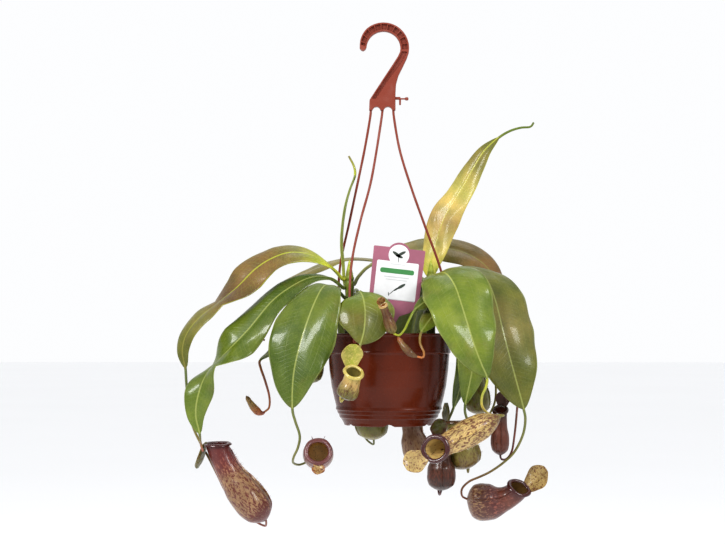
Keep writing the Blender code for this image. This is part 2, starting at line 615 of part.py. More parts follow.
def rod(name, radius, depth, collection, location, rotation=(0, 0, 0), sides=12):
    """A capped cylinder, for pins and cutters."""
    mesh = bpy.data.meshes.new(name)
    bm = bmesh.new()
    bmesh.ops.create_cone(bm, cap_ends=True, segments=sides, radius1=radius * MM, radius2=radius * MM,
                          depth=depth * MM)
    bm.to_mesh(mesh)
    bm.free()
    obj = add_object(name, mesh, collection)
    obj.rotation_euler = rotation
    obj.location = np.asarray(location) * MM
    return obj


def turned(name, profile, sides, collection):
    """A solid turned about Z from a closed profile of (radius, height) that starts and ends on the axis."""
    mesh = bpy.data.meshes.new(name)
    points = [(r * MM, 0, z * MM) for r, z in profile]
    mesh.from_pydata(points, [(i, i + 1) for i in range(len(points) - 1)], [])
    obj = add_object(name, mesh, collection)
    screw = obj.modifiers.new("Turn", "SCREW")
    screw.axis = "Z"
    screw.steps = screw.render_steps = sides
    screw.use_merge_vertices = True
    screw.merge_threshold = 1e-5
    screw.use_smooth_shade = True
    return obj


def rim_point(angle, radius, z):
    a = math.radians(angle)
    return np.array([radius * math.cos(a), radius * math.sin(a), z])


def pot_outer():
    """The pot's outside from rim to foot: rim band, belly, three ridges, foot ring."""
    ridges = []
    for z in (18.6, 14.3, 9.6):
        r = 50.5 + 0.48 * z
        ridges += [(r + 0.8, z), (r - 0.4, z - 1.3)]
    return [(POT_RIM_R - 0.6, POT_HEIGHT), (POT_RIM_R, POT_HEIGHT - 1), (POT_RIM_R - 0.9, 82.5),
            (POT_RIM_R - 1.9, 81), (67.6, 62), (65.2, 44), (61.8, 29), (59.8, 21.5), *ridges,
            (51.6, 3.0), (50.6, 0.0)]


def make_pot(parts, finish, parent):
    inner = [(47.6, 0.0), (48.2, 3.2), (40.0, 3.6), (0.0, 3.6)]
    cavity = [(0.0, FLOOR_Z), (49.5, FLOOR_Z), (57.6, 21.0), (63.4, 44), (65.8, 62), (68.2, 82),
              (POT_RIM_R - POT_WALL - 0.6, POT_HEIGHT)]
    pot = turned("pot", [*cavity, *pot_outer(), *inner], POT_SIDES, parts)
    cutters = []
    for k in range(FOOT_NOTCHES):
        angle = math.tau * (k + 0.5) / FOOT_NOTCHES
        place = (49 * math.cos(angle), 49 * math.sin(angle), -4.5)
        cutters.append(rod(f"notch_{k}", 7.0, 16, parts, place, (0, math.pi / 2, angle), 12))
    for k in range(FOOT_NOTCHES):
        angle = math.tau * k / FOOT_NOTCHES
        cutters.append(rod(f"drain_{k}", DRAIN_R, 10, parts,
                           (30 * math.cos(angle), 30 * math.sin(angle), FLOOR_Z), sides=8))
    for k, angle in enumerate(CLIP_ANGLES):
        place = rim_point(angle, POT_RIM_R, CLIP_Z)
        cutters.append(rod(f"clip_hole_{k}", CLIP_HOLE_R, 12, parts, place,
                           (0, math.pi / 2, math.radians(angle)), 10))
    boolean(pot, cutters, "DIFFERENCE", "pot_cutters")
    pot.data.materials.clear()
    pot.data.materials.append(finish)
    pot.parent = parent
    return pot


def arc(centre, radius, first, last, count):
    """Points on an arc in the XZ plane, between two angles in degrees."""
    angles = np.radians(np.linspace(first, last, count))
    return [(centre[0] + radius * math.cos(a), centre[1] + radius * math.sin(a)) for a in angles]


def hook_outline():
    """The hook's face: round the outside from the tip, down the shank, across its foot and back inside."""
    outside = [(HOOK_CENTRE[0] + (HOOK_OUTER_R - lean) * math.cos(math.radians(a)),
                HOOK_CENTRE[1] + (HOOK_OUTER_R - lean) * math.sin(math.radians(a)))
               for a, lean in zip(np.linspace(170, -10, 19), [2.0, 1.4, 0.9, 0.4, *[0] * 15])]
    right = [(20.5, 418), (16.2, 409), (11.2, 399), (8.4, 389), (7.8, 378), (7.8, 359)]
    foot = [(3.8, 359), (2.4, 361.6), (-0.9, 363.0), (-4.2, 361.6), (-5.6, 359), (-9.6, 359),
            (-11.0, 361.6), (-14.0, 363.0), (-17.0, 361.6), (-18.4, 359), (-22.4, 359)]
    left = [(-21.9, 371), (-7.0, 394), (4.6, 411.5), (10.6, 421)]
    inside = arc(HOOK_CENTRE, HOOK_INNER_R, -12, 178, 17)
    tip = [(-26.4, 429.4), (-28.0, 427.4), (-31.0, 427.2), (-33.2, 430.0)]
    return [*outside, *right, *foot, *left, *inside, *tip]


def hook_pockets(parts):
    """Cutters for the channel in both faces: cells between cross ribs round the bend, one long slot below."""
    cutters = []
    cells = np.linspace(168, 12, 12)
    for k, (first, last) in enumerate(zip(cells, cells[1:])):
        gap = 2.2 * (1 if last < first else -1)
        outer = arc(HOOK_CENTRE, HOOK_OUTER_R - 1.6, first - gap, last + gap, 3)
        inner = arc(HOOK_CENTRE, HOOK_INNER_R + 1.8, last + gap, first - gap, 3)
        for face, y in (("front", -HOOK_DEPTH / 2), ("back", HOOK_DEPTH / 2)):
            cutters.append(plate(f"cell_{face}_{k}", outer + inner, 6.0, parts, y))
    slot = [(15.4, 429), (21.2, 429), (19.6, 420), (14.0, 411), (5.0, 398), (-16.6, 369.6), (-20.2, 370.4),
            (-5.4, 393), (6.2, 410.6), (12.2, 420.6)]
    for face, y in (("front", -HOOK_DEPTH / 2), ("back", HOOK_DEPTH / 2)):
        cutters.append(plate(f"slot_{face}", slot, 6.0, parts, y))
    return cutters


LEGS = {
    "right": [(5.8, 0, 362), (5.9, 0, 352), (12.8, 1, 313), (26, 2, 270), (41, 4, 228), (58.8, 6, 179),
              (69.5, 7.4, 135)],
    "back": [(-20.4, 0, 362), (-21.4, 0, 350), (-27.6, 4, 315), (-35.5, 12, 278), (-46, 22, 230),
             (-56, 34, 186), (-58.5, 44, 150), (-55.4, 52, 120)],
    "front": [(-7.6, 0, 362), (-8.2, -1, 350), (-19.6, -8, 280), (-32, -22, 231), (-41, -38, 187),
              (-43.6, -52, 146), (-41.2, -61, 118)],
}


def make_hanger(parts, finish, parent):
    hanger = plate("hanger", hook_outline(), HOOK_DEPTH, parts)
    boolean(hanger, hook_pockets(parts), "DIFFERENCE", "hook_cutters")
    pieces = []
    for (name, points), angle in zip((("right", LEGS["right"]), ("back", LEGS["back"]),
                                      ("front", LEGS["front"])), CLIP_ANGLES):
        outside = rim_point(angle, POT_RIM_R + GAP + LEG_R + 0.6, CLIP_Z)
        line = smooth_line([*points, outside + (0, 0, 10), outside], samples=2)
        pieces.append(wire(f"leg_{name}", line, LEG_R, parts))
        turn = (0, math.pi / 2, math.radians(angle))
        pieces.append(rod(f"peg_{name}", CLIP_HOLE_R - GAP, 7.2, parts,
                          rim_point(angle, POT_RIM_R - 0.6, CLIP_Z), turn, 8))
        head_at = POT_RIM_R - POT_WALL - 2.4
        pieces.append(rod(f"head_{name}", CLIP_HOLE_R + 0.7, 1.6, parts, rim_point(angle, head_at, CLIP_Z),
                          turn, 8))
        pieces.append(rod(f"boss_{name}", 2.6, 2.2, parts,
                          rim_point(angle, POT_RIM_R + GAP + 1.4, CLIP_Z), turn, 8))
    pieces.append(rod("nub_stub", 1.7, 8, parts, (9.5, 0, 373), (0, math.pi / 2, 0), 8))
    pieces.append(rod("nub_neck", 0.9, 8, parts, (16.5, 0, 372.4), (0, math.pi / 2, 0), 6))
    pieces.append(rod("nub_prong", 1.2, 8, parts, (13, 0, 369), sides=6))
    pieces.append(rod("nub_ball", 2.2, 3.4, parts, (20.6, 0, 372.4), sides=8))
    boolean(hanger, pieces, "UNION", "hanger_pieces")
    hanger.data.materials.clear()
    hanger.data.materials.append(finish)
    hanger.parent = parent
    return hanger


TAG_CENTRE_X = 1.0
TAG_Y = -44.0
TAG_TILT = math.radians(6.5)
TAG_HALF = 29.0
TAG_LOW, TAG_HIGH = 138.0, 200.0
TAG_THICK = 0.8


def tag_outline():
    """A card with a low round hump on top, a tapered foot and a pointed stake."""
    top = [(-TAG_HALF, TAG_HIGH), *arc((0, TAG_HIGH - 7.5), 13.5, 146, 34, 9), (TAG_HALF, TAG_HIGH)]
    low = [(TAG_HALF - 1, TAG_LOW), (19, 129), (8, 124), (4.6, 116), (4.2, 70), (0, 58), (-4.2, 70), (-4.6, 116),
           (-8, 124), (-19, 129), (1 - TAG_HALF, TAG_LOW)]
    return top + low


def make_tag(parts, finish, parent):
    tag = plate("label_tag", tag_outline(), TAG_THICK, parts)
    c, s = math.cos(TAG_TILT), math.sin(TAG_TILT)
    pivot = 100.0 * MM
    for vertex in tag.data.vertices:
        x, z = vertex.co.x, vertex.co.z - pivot
        vertex.co.x = c * x + s * z + TAG_CENTRE_X * MM
        vertex.co.z = -s * x + c * z + pivot
        vertex.co.y += TAG_Y * MM
    tag.data.materials.append(finish)
    tag.parent = parent
    return tag


def make_soil(parts, finish, parent):
    """The plug of soil, with a plain hole for each stem and a slot for the label's stake."""
    profile = [(0, SOIL_TOP + 2), (22, SOIL_TOP + 1.4), (48, SOIL_TOP - 0.5), (66.2, SOIL_TOP - 2),
               (65.3, 62), (62.9, 44), (57.1, 21), (49.2, FLOOR_Z + GAP), (0, FLOOR_Z + GAP)]
    soil = turned("soil", profile, 28, parts)
    cutters = []
    for side, (x, y) in STEMS.items():
        depth = 60.0
        cutters.append(rod(f"stem_hole_{side}", STEM_R + 0.5, depth, parts,
                           (x, y, STEM_FOOT_Z - GAP + depth / 2), sides=16))
    slot = [(-12, 54), (6, 54), (6, 110), (-12, 110)]
    cutters.append(plate("stake_slot", slot, TAG_THICK + 2 * GAP, parts, TAG_Y))
    boolean(soil, cutters, "DIFFERENCE", "soil_cutters")
    soil.data.materials.clear()
    soil.data.materials.append(finish)
    soil.parent = parent
    return soil


def make_stem(side, parts, finish, parent):
    """A short woody shoot, drawn in to a point where its newest leaf is still rolled up."""
    x, y = STEMS[side]
    rings = []
    for z, r in ((STEM_FOOT_Z, 3.4), (STEM_FOOT_Z + 3, STEM_R), (STEM_TOP_Z - 2, STEM_R - 0.2),
                 (STEM_TOP_Z + 6, 3.2), (STEM_TOP_Z + 16, 1.0)):
        centre = np.array([x, y, z])
        rings.append(round_ring(centre, np.array([0, 1.0, 0]), np.array([1.0, 0, 0]), r, 12))
    return add_object(f"stem_{side}", skin(f"stem_{side}", rings), parts, finish, parent)


def main():
    clear_scene()
    parts = new_collection("hanging_pitcher_plant")
    hang_point = bpy.data.objects.new("hang_point", None)
    parts.objects.link(hang_point)
    hang_point.location = -np.asarray(HOOK_SEAT) * MM

    plastic = material("terracotta_plastic", (0.22, 0.05, 0.025), 0.3)
    hook_plastic = material("hanger_plastic", (0.33, 0.10, 0.07), 0.45)
    peat = material("peat", (0.03, 0.02, 0.014), 0.95)
    tag_print = material("tag_print", (0.48, 0.20, 0.32), 0.4)
    bark = material("stem_green", (0.16, 0.17, 0.05), 0.6)
    green = material("leaf_green", (0.13, 0.25, 0.03), 0.3)
    red = material("pitcher_red", (0.25, 0.06, 0.05), 0.35)

    make_pot(parts, plastic, hang_point)
    make_hanger(parts, hook_plastic, hang_point)
    make_soil(parts, peat, hang_point)
    make_tag(parts, tag_print, hang_point)
    for side in STEMS:
        make_stem(side, parts, bark, hang_point)
    for name, leaf in LEAVES.items():
        add_object(name, skin(name, leaf_rings(leaf)), parts, green, hang_point)
    for name, pitcher in PITCHERS.items():
        cup = add_object(name, skin(name, pitcher_rings(pitcher)), parts, red, hang_point)
        lid = add_object(name + "_lid", skin(name + "_lid", lid_rings(pitcher)), parts, None, hang_point)
        boolean(cup, [lid], "UNION", name + "_pieces")
    for name, bud in BUDS.items():
        add_object(name, skin(name, bud_rings(bud)), parts, red, hang_point)


main()
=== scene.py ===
"""Hanging pitcher plant: the finished look of its pot, hanger, shoots, leaves and pitchers.

Tables are in millimetres, measured from the centre of the pot's foot: +X right, +Y back, +Z up.
The finished pieces hang with the inside of the hook at the world's origin, in metres.
"""

import json
import math

import bpy
import numpy as np
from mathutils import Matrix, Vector

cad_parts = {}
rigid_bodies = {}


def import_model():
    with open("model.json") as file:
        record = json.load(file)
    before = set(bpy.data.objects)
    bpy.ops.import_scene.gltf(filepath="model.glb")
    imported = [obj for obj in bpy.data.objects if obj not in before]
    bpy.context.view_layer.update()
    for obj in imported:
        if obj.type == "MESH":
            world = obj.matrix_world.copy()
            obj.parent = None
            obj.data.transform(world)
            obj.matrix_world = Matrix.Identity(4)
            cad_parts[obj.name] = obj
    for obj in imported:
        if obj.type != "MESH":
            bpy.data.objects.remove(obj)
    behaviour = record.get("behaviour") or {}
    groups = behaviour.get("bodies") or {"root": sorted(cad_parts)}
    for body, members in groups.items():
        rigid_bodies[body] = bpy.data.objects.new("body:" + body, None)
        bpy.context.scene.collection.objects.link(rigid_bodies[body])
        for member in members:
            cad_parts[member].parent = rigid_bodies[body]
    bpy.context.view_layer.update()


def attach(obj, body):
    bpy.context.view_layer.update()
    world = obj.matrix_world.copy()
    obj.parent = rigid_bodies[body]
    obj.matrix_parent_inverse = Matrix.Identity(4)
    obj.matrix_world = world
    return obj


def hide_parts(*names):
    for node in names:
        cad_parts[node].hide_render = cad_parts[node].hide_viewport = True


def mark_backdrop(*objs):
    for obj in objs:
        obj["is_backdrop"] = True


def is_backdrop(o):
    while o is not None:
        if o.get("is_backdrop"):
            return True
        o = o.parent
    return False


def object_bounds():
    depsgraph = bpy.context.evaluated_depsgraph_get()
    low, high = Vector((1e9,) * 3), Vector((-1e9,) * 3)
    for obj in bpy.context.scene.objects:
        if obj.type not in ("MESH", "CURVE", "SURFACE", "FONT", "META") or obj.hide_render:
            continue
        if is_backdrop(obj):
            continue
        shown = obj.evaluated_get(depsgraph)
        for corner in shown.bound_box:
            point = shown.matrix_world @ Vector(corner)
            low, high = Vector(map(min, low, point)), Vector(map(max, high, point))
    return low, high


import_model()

bl_info = {
    "name": "Hanging Pitcher Plant",
    "version": (1, 0, 0),
    "blender": (4, 5, 0),
    "location": "View3D > Sidebar > Pitcher Plant",
    "description": "Makes a pitcher plant in a hanging pot, from pot and hook to leaves and lidded pitchers",
    "category": "Object",
}

MM = 0.001
HOOK_SEAT = np.array([-6.0, 0.0, 450.0])  # inside of the hook, where the rail lies
UP = (0, 0, 1)

# Pot: its rim, wall and floor, the ridges low on its side, and the holes and notches of its foot.
POT_RIM_R = 71.0
POT_HEIGHT = 104.0
POT_WALL = 1.6
FLOOR_Z = 5.0
RIDGE_HEIGHTS = (18.6, 14.3, 9.6)
DRAIN_HOLES, DRAIN_R, DRAIN_CIRCLE_R = 6, 4.0, 30.0
NOTCHES, NOTCH_R, NOTCH_DROP, NOTCH_TOP = 6, 7.0, 4.5, 2.5
FOOT_R, FOOT_RING_IN, FOOT_RING_TOP = 49.0, 47.0, 2.6
SOIL_TOP = 88.0
SOIL_R, SOIL_SIDES, SOIL_RINGS = 66.4, 200, 64

# Hanger: the hook's bend and depth, its rows of points, its legs, and where they clip to the rim, in degrees.
HOOK_CENTRE = np.array([-6.0, 430.5])
HOOK_INNER_R = 19.5
HOOK_OUTER_R = 29.5
HOOK_DEPTH = 8.0
HOOK_ROWS, HOOK_COLUMNS = 380, 36
HOOK_EDGE_R, CHANNEL_DEPTH, CROSS_RIBS = 0.7, 2.9, 11
LEG_R = 1.4
CLIP_ANGLES = (6.0, 133.0, 239.0)
CLIP_Z = 96.0

# Label: the middle, depth and tilt of its card, and its half width, shoulders, foot and thickness.
TAG_CENTRE_X, TAG_Y, TAG_TILT, TAG_PIVOT_Z = 1.0, -44.0, math.radians(6.5), 100.0
TAG_HALF, TAG_LOW, TAG_HIGH, TAG_THICK = 29.0, 138.0, 200.0, 0.8
TAG_HEAD_R = 13.5
PRINT_LAYER = 0.035

# Shoots, leaves and pitchers: sizes, and how many points and hairs they have.
STEM_R = 5.0
STEM_FOOT_Z = 56.0
STEM_TOP_Z = 170.0
STEMS = {"left": (-45.0, 0.0), "right": (48.0, 0.0)}
BLADE_THICK = 0.8
RIB_R = 1.5
PETIOLE_R = 2.2
TENDRIL_R = 1.15
LEAST_HALF_THICK = 0.12
BLADE_STEP, TENDRIL_STEP = 1.9, 2.2  # between a leaf's rows of points
CUP_WALL = 1.1
WING_ANGLE = 20.0
LIP_SECTIONS, LIP_SIDES, LID_COLUMNS = 192, 16, 23
BUD_HAIRS = 60
LIP_SLANT = 0.25


# ---- Tables ----

# Each leaf: the stem and height that it grows from, its greatest width, where along the blade that is, the
# share of the length that is narrow stalk, the depth of its ripples, the lines of its midrib and its tendril,
# and the way its upper face looks at places evenly spaced from foot to tip.
LEAF_WORDS = ("stem", "height", "width", "widest", "stalk", "wave", "midrib", "tendril", "faces")
LEAVES = {
    "leaf_far_left": ("left", 166, 44, 0.55, 0.04, 3,
        [(-66, -8, 180), (-88, -14, 192), (-111, -20, 195), (-132, -26, 188), (-151, -32, 175),
         (-170, -38, 155), (-190, -44, 138), (-210, -48, 122), (-224, -52, 104), (-229, -54, 85),
         (-226, -54, 66)],
        [(-225, -52, 48), (-223, -47, 25), (-219, -42, 1), (-211, -38, -18), (-201, -37, -36),
         (-191, -39, -55), (-182, -43, -72), (-172, -43, -86), (-160, -39, -98), (-147, -38, -107),
         (-138, -44, -110), (-136, -51, -107), (-136, -55, -103)],
        [UP, (-0.1, -0.5, 1), (-0.1, -0.8, 0.6), (-0.3, -0.9, 0.6), (-0.7, -0.2, 0.8), (-1, -1, 0.3),
         (-0.4, -1, 0.1)]),
    "leaf_left": ("left", 156, 46, 0.6, 0.05, 4,
        [(-66, -12, 166), (-86, -20, 167), (-108, -30, 157), (-131, -42, 139), (-156, -54, 108),
         (-182, -62, 80), (-200, -66, 60), (-210, -68, 36), (-213, -66, 14), (-209, -64, -6)],
        [(-208, -66, -14), (-206, -70, -21), (-204, -74, -25)],
        [UP, (0, -0.5, 1), (-0.2, -1, 0.6), (-0.3, -1, 0.5), (-0.3, -1, 0.6), (-0.9, -0.1, 0.6),
         (0, -1, 0.2), (0.2, -1, 0.2)]),
    "leaf_back_left": ("right", 158, 34, 0.5, 0.2, 2,
        [(37, 28, 168), (12, 50, 181), (-21, 60, 190), (-55, 62, 190), (-89, 60, 178), (-120, 56, 165),
         (-140, 50, 151), (-151, 42, 136), (-153, 36, 121)],
        [(-153, 36, 108), (-150, 40, 98), (-145, 44, 96)],
        [UP, (0, -0.1, 1), (-0.1, -0.15, 1), (-0.3, -0.2, 1), (-1, -0.6, 0.6)]),
    "leaf_front_left": ("left", 144, 72, 0.58, 0.08, 5,
        [(-60, -22, 154), (-71, -44, 157), (-80, -62, 142), (-90, -76, 115), (-98, -84, 88),
         (-104, -88, 57), (-105, -90, 23)],
        [(-102, -90, 9), (-97, -90, -7), (-99, -88, -20), (-104, -82, -31), (-105, -70, -38),
         (-99, -59, -41), (-90, -52, -38), (-83, -53, -33), (-80, -58, -31)],
        [(-0.2, -0.3, 1), (-0.3, -1, 0.6), (-0.2, -1, 0.2), (-0.1, -1, 0.1)]),
    "leaf_front": ("left", 132, 64, 0.7, 0.46, 2,
        [(-39, -22, 143), (-34, -44, 149), (-29, -64, 145), (-26, -77, 128), (-27, -85, 108),
         (-31, -89, 92)],
        [(-34, -88, 80), (-39, -85, 60), (-46, -83, 45), (-52, -86, 37), (-52, -93, 30), (-49, -98, 33)],
        [UP, (0, -0.6, 1), (0, -1, 0.7), (0, -1, 0.2), (0, -1, 0.1)]),
    "leaf_tag": ("right", 128, 20, 0.6, 0.35, 1,
        [(47, -22, 137), (49, -40, 141), (42, -56, 140), (29, -65, 130)],
        [(22, -72, 118), (17, -80, 108), (11, -87, 102), (6, -90, 104)],
        [UP, (0, -0.6, 1), (0.2, -0.8, 1), (0.1, -1, 0.5)]),
    "leaf_rim": ("right", 114, 26, 0.6, 0.3, 1,
        [(55, -22, 122), (56, -42, 126), (48, -62, 122), (36, -79, 106)],
        [(34, -87, 94), (38, -93, 84), (37, -97, 78), (31, -98, 79)],
        [UP, (0, -0.6, 1), (0, -0.8, 1), (0.1, -1, 0.5)]),
    "leaf_front_right": ("right", 156, 76, 0.48, 0.06, 3,
        [(55, -26, 170), (64, -46, 170), (73, -64, 156), (80, -77, 134), (87, -86, 110), (94, -90, 88),
         (101, -89, 70), (107, -86, 56)],
        [(106, -84, 46), (102, -81, 36), (102, -76, 25), (108, -68, 17), (117, -62, 14), (124, -63, 14),
         (126, -69, 14), (122, -74, 13)],
        [(0.1, -0.6, 1), (0.1, -1, 0.5), (0.25, -1, 0.2), (0.1, -1, 0.1)]),
    "leaf_right": ("right", 164, 80, 0.55, 0.06, 3,
        [(66, -4, 173), (84, -3, 178), (100, -10, 174), (112, -21, 161), (120, -33, 138), (127, -45, 106),
         (135, -48, 75), (142, -48, 49), (150, -44, 20)],
        [(152, -42, 7), (149, -40, -10), (140, -38, -28), (127, -35, -41), (113, -31, -51), (101, -28, -57),
         (90, -27, -62), (82, -28, -70), (82, -30, -78), (87, -30, -81)],
        [UP, (0.3, -0.5, 1), (0.4, -1, 0.4), (0.3, -1, 0.1), (0.2, -1, 0.1)]),
    "leaf_back_right": ("left", 160, 44, 0.6, 0.12, 2,
        [(-34, 14, 170), (-20, 22, 183), (8, 40, 194), (40, 52, 202), (67, 56, 203), (93, 53, 196),
         (113, 48, 182), (127, 42, 160), (133, 36, 134)],
        [(137, 30, 101), (142, 18, 67), (147, 6, 37), (145, -3, 10), (142, -6, -15), (139, -8, -30),
         (133, -10, -38), (127, -12, -38), (126, -12, -34)],
        [UP, (0, -0.6, 1), (0, -0.8, 0.8), (0.2, -0.8, 0.8), (0.9, -0.5, 0.4)]),
    "leaf_upright": ("right", 168, 38, 0.42, 0.03, 2,
        [(49, 18, 184), (54, 24, 204), (64, 26, 236), (76, 26, 256), (88, 26, 276), (99, 26, 296),
         (111, 26, 315), (127, 26, 330)],
        [(140, 26, 338), (153, 26, 342), (164, 26, 343), (168, 26, 348)],
        [(-0.4, -1, 0), (-0.5, -1, 0.3), (-0.5, -1, 0.4), (-0.4, -1, 0.6)]),
    "leaf_spear": ("left", 160, 20, 0.4, 0.05, 0,
        [(-52, 9, 182), (-54, 10, 205), (-53, 10, 226), (-50, 10, 248), (-45, 11, 267), (-39, 12, 285)],
        [(-40, 12, 296), (-46, 13, 308)],
        [(1, 0.2, 0), (1, 0.15, 0), (1, 0.1, 0)]),
    "leaf_low_right": ("right", 126, 34, 0.5, 0.15, 1.5,
        [(68, -6, 136), (84, -12, 132), (91, -17, 112), (88, -19, 81), (81, -18, 48), (73, -16, 20)],
        [(67, -14, 5), (61, -15, -14), (56, -17, -34), (54, -18, -52), (55, -24, -66), (56, -33, -75),
         (57, -40, -75), (58, -44, -71)],
        [UP, (0.6, -0.4, 1), (1, -0.9, 0.2), (1, -0.9, 0)]),
    "leaf_under_right": ("right", 140, 44, 0.5, 0.12, 2,
        [(66, -14, 150), (81, -32, 145), (93, -45, 124), (96, -51, 98), (92, -52, 62), (85, -48, 26)],
        [(86, -41, 12), (92, -27, 2), (94, -14, -10), (93, -8, -24), (91, -8, -38), (90, -14, -49),
         (89, -22, -52), (88, -27, -48)],
        [UP, (0.3, -0.8, 1), (0.3, -1, 0.1), (0.2, -1, 0)]),
    "leaf_hidden_left": ("left", 126, 30, 0.5, 0.2, 1.5,
        [(-64, 8, 132), (-84, 13, 132), (-104, 15, 116), (-122, 13, 96), (-136, 8, 82), (-147, 2, 73)],
        [(-146, -4, 65), (-141, -6, 51), (-136, -6, 33), (-136, -6, 20), (-141, -6, 15)],
        [UP, (-0.3, -0.3, 1), (-0.5, -0.6, 1), (-0.7, -0.8, 1)]),
    "leaf_behind_right": ("right", 134, 46, 0.5, 0.15, 2,
        [(62, 18, 146), (84, 33, 150), (104, 40, 138), (115, 42, 112), (117, 40, 86)],
        [(122, 38, 66), (124, 36, 46), (123, 34, 26), (117, 30, 12), (110, 25, 8), (105, 22, 11)],
        [UP, (0.3, 0.2, 1), (1, 0.4, 0.5), (1, 0.3, 0)]),
    "leaf_behind": ("right", 148, 54, 0.5, 0.12, 2.5,
        [(48, 26, 158), (42, 54, 156), (34, 82, 134), (28, 97, 98), (26, 102, 58)],
        [(30, 104, 40), (37, 105, 10), (40, 104, -18), (39, 97, -39), (37, 88, -51), (35, 80, -53),
         (34, 75, -49)],
        [UP, (0, 0.6, 1), (0, 1, 0.4), (0, 1, 0.1)]),
    "leaf_behind_left": ("left", 142, 56, 0.62, 0.3, 2.5,
        [(-41, 24, 152), (-36, 50, 152), (-34, 80, 128), (-33, 97, 88), (-32, 103, 50)],
        [(-36, 107, 34), (-40, 112, 14), (-36, 114, -8), (-28, 109, -22), (-21, 101, -28), (-18, 94, -28),
         (-18, 90, -23)],
        [UP, (0, 0.6, 1), (0, 1, 0.4), (0, 1, 0.1)]),
    "leaf_far_back": ("left", 116, 38, 0.5, 0.15, 2,
        [(-60, 20, 125), (-76, 36, 128), (-92, 48, 112), (-100, 52, 88), (-104, 50, 66)],
        [(-107, 47, 56), (-106, 40, 50), (-100, 31, 45), (-93, 24, 43), (-89, 19, 47)],
        [UP, (-0.3, 0.4, 1), (-0.8, 0.6, 0.4), (-1, 0.4, 0.1)]),
}

# Each pitcher: the leaf whose tendril carries it, where its mouth is, the way the mouth opens, the way its
# front looks, its greatest radius, its mouth's radius, how far the lid is open in degrees, the lid's size,
# how far the pitcher's line runs on from the tendril and back from the mouth before it bends, its shape, and
# its grain, which is fine for those that hang in front.
PITCHER_WORDS = ("leaf", "mouth", "out", "front", "radius", "mouth_r", "lid", "lid_size", "bend", "shape",
                 "grain")
PITCHERS = {
    "pitcher_large_left": ("leaf_far_left", (-190, -57, -19), (-0.28, -0.05, 1), (1, -0.2, 0), 19, 12.5,
        235, 1, (8, 46), "round", "fine"),
    "pitcher_facing": ("leaf_front_left", (-76, -111, -23), (0.05, -1, 0.2), (0, 0, 1), 17, 12.5, 150, 0.5,
        (6, 16), "round", "fine"),
    "pitcher_yellow_lid": ("leaf_front", (-38, -106, 62), (0.15, -0.45, 1), (0.4, -1, 0), 12, 9.5, 100,
        1.15, (4, 14), "round", "fine"),
    "pitcher_tag": ("leaf_tag", (-6, -94, 134), (-0.4, -0.2, 1), (0.2, -1, 0), 6.5, 4.4, 60, 1, (3, 12),
        "round", "plain"),
    "pitcher_tan": ("leaf_front_right", (50, -108, -20), (-0.5, -1, -0.05), (1, -0.3, 0.7), 15.5, 12.5, 140,
        0.9, (8, 28), "tapered", "fine"),
    "pitcher_large_right": ("leaf_right", (145, -40, -68), (0.55, -0.35, 0.75), (-0.6, -1, 0.6), 21, 11.5,
        100, 1.15, (7, 30), "round", "fine"),
    "pitcher_narrow": ("leaf_back_right", (126, -16, 17), (0, -0.35, 1), (-0.3, -1, 0), 10.5, 7.5, 110, 1,
        (4, 18), "round", "plain"),
    "pitcher_dark": ("leaf_low_right", (58, -50, -14), (0, -0.3, 1), (0.4, -1, 0), 16, 9, 80, 1, (4, 22),
        "round", "plain"),
    "pitcher_olive": ("leaf_under_right", (73, -30, 4), (-0.3, 0.1, 1), (1, -0.4, 0), 18, 10, 70, 1,
        (4, 22), "round", "plain"),
    "pitcher_behind_right": ("leaf_behind_right", (99, 16, 66), (-0.1, 0, 1), (1, 0.3, 0), 14, 9, 70, 1,
        (6, 22), "round", "plain"),
    "pitcher_grey": ("leaf_behind", (22, 72, 12), (-0.2, 0.1, 1), (1, 0.2, 0), 15, 9, 70, 1, (4, 22),
        "round", "plain"),
    "pitcher_under": ("leaf_behind_left", (-20, 82, 44), (0.1, 0.1, 1), (-1, 0.3, 0), 19, 10, 70, 1,
        (4, 26), "round", "plain"),
    "pitcher_beside": ("leaf_far_back", (-83, 10, 98), (0, -0.1, 1), (-0.6, 1, 0), 11, 7.5, 70, 1, (4, 16),
        "round", "plain"),
}

# Pitchers still in bud, solid, with the lid sealed down: the leaf, the tip and the radius.
BUD_WORDS = ("leaf", "tip", "radius")
BUDS = {
    "bud_left": ("leaf_hidden_left", (-162, -8, 33), 4.5),
    "bud_rim": ("leaf_rim", (10, -93, 100), 4.2),
}

# Each row becomes a dictionary by its table's words.
LEAVES, PITCHERS, BUDS = ({name: dict(zip(words, row)) for name, row in table.items()} for words, table in
                          ((LEAF_WORDS, LEAVES), (PITCHER_WORDS, PITCHERS), (BUD_WORDS, BUDS)))

# Colours by name, as linear red, green and blue.
COLOURS = {
    "green": (0.07, 0.098, 0.008), "deep_green": (0.04, 0.068, 0.006), "fresh": (0.11, 0.145, 0.014),
    "lime": (0.3, 0.33, 0.024), "pale": (0.23, 0.25, 0.07), "grey_green": (0.1, 0.12, 0.04),
    "olive": (0.08, 0.084, 0.01), "khaki": (0.145, 0.12, 0.03), "bronze": (0.12, 0.068, 0.02),
    "brown": (0.07, 0.032, 0.011), "tan": (0.34, 0.225, 0.08), "straw": (0.4, 0.33, 0.085),
    "buff": (0.21, 0.125, 0.062), "orange": (0.28, 0.095, 0.026), "rose": (0.19, 0.062, 0.042),
    "red": (0.075, 0.012, 0.011), "dark_red": (0.042, 0.007, 0.007), "maroon": (0.05, 0.012, 0.012),
    "plum": (0.1, 0.03, 0.028), "grey_plum": (0.165, 0.1, 0.066), "russet": (0.085, 0.024, 0.013),
    "umber": (0.036, 0.013, 0.007), "sand": (0.43, 0.31, 0.12), "black": (0.01, 0.005, 0.005),
}

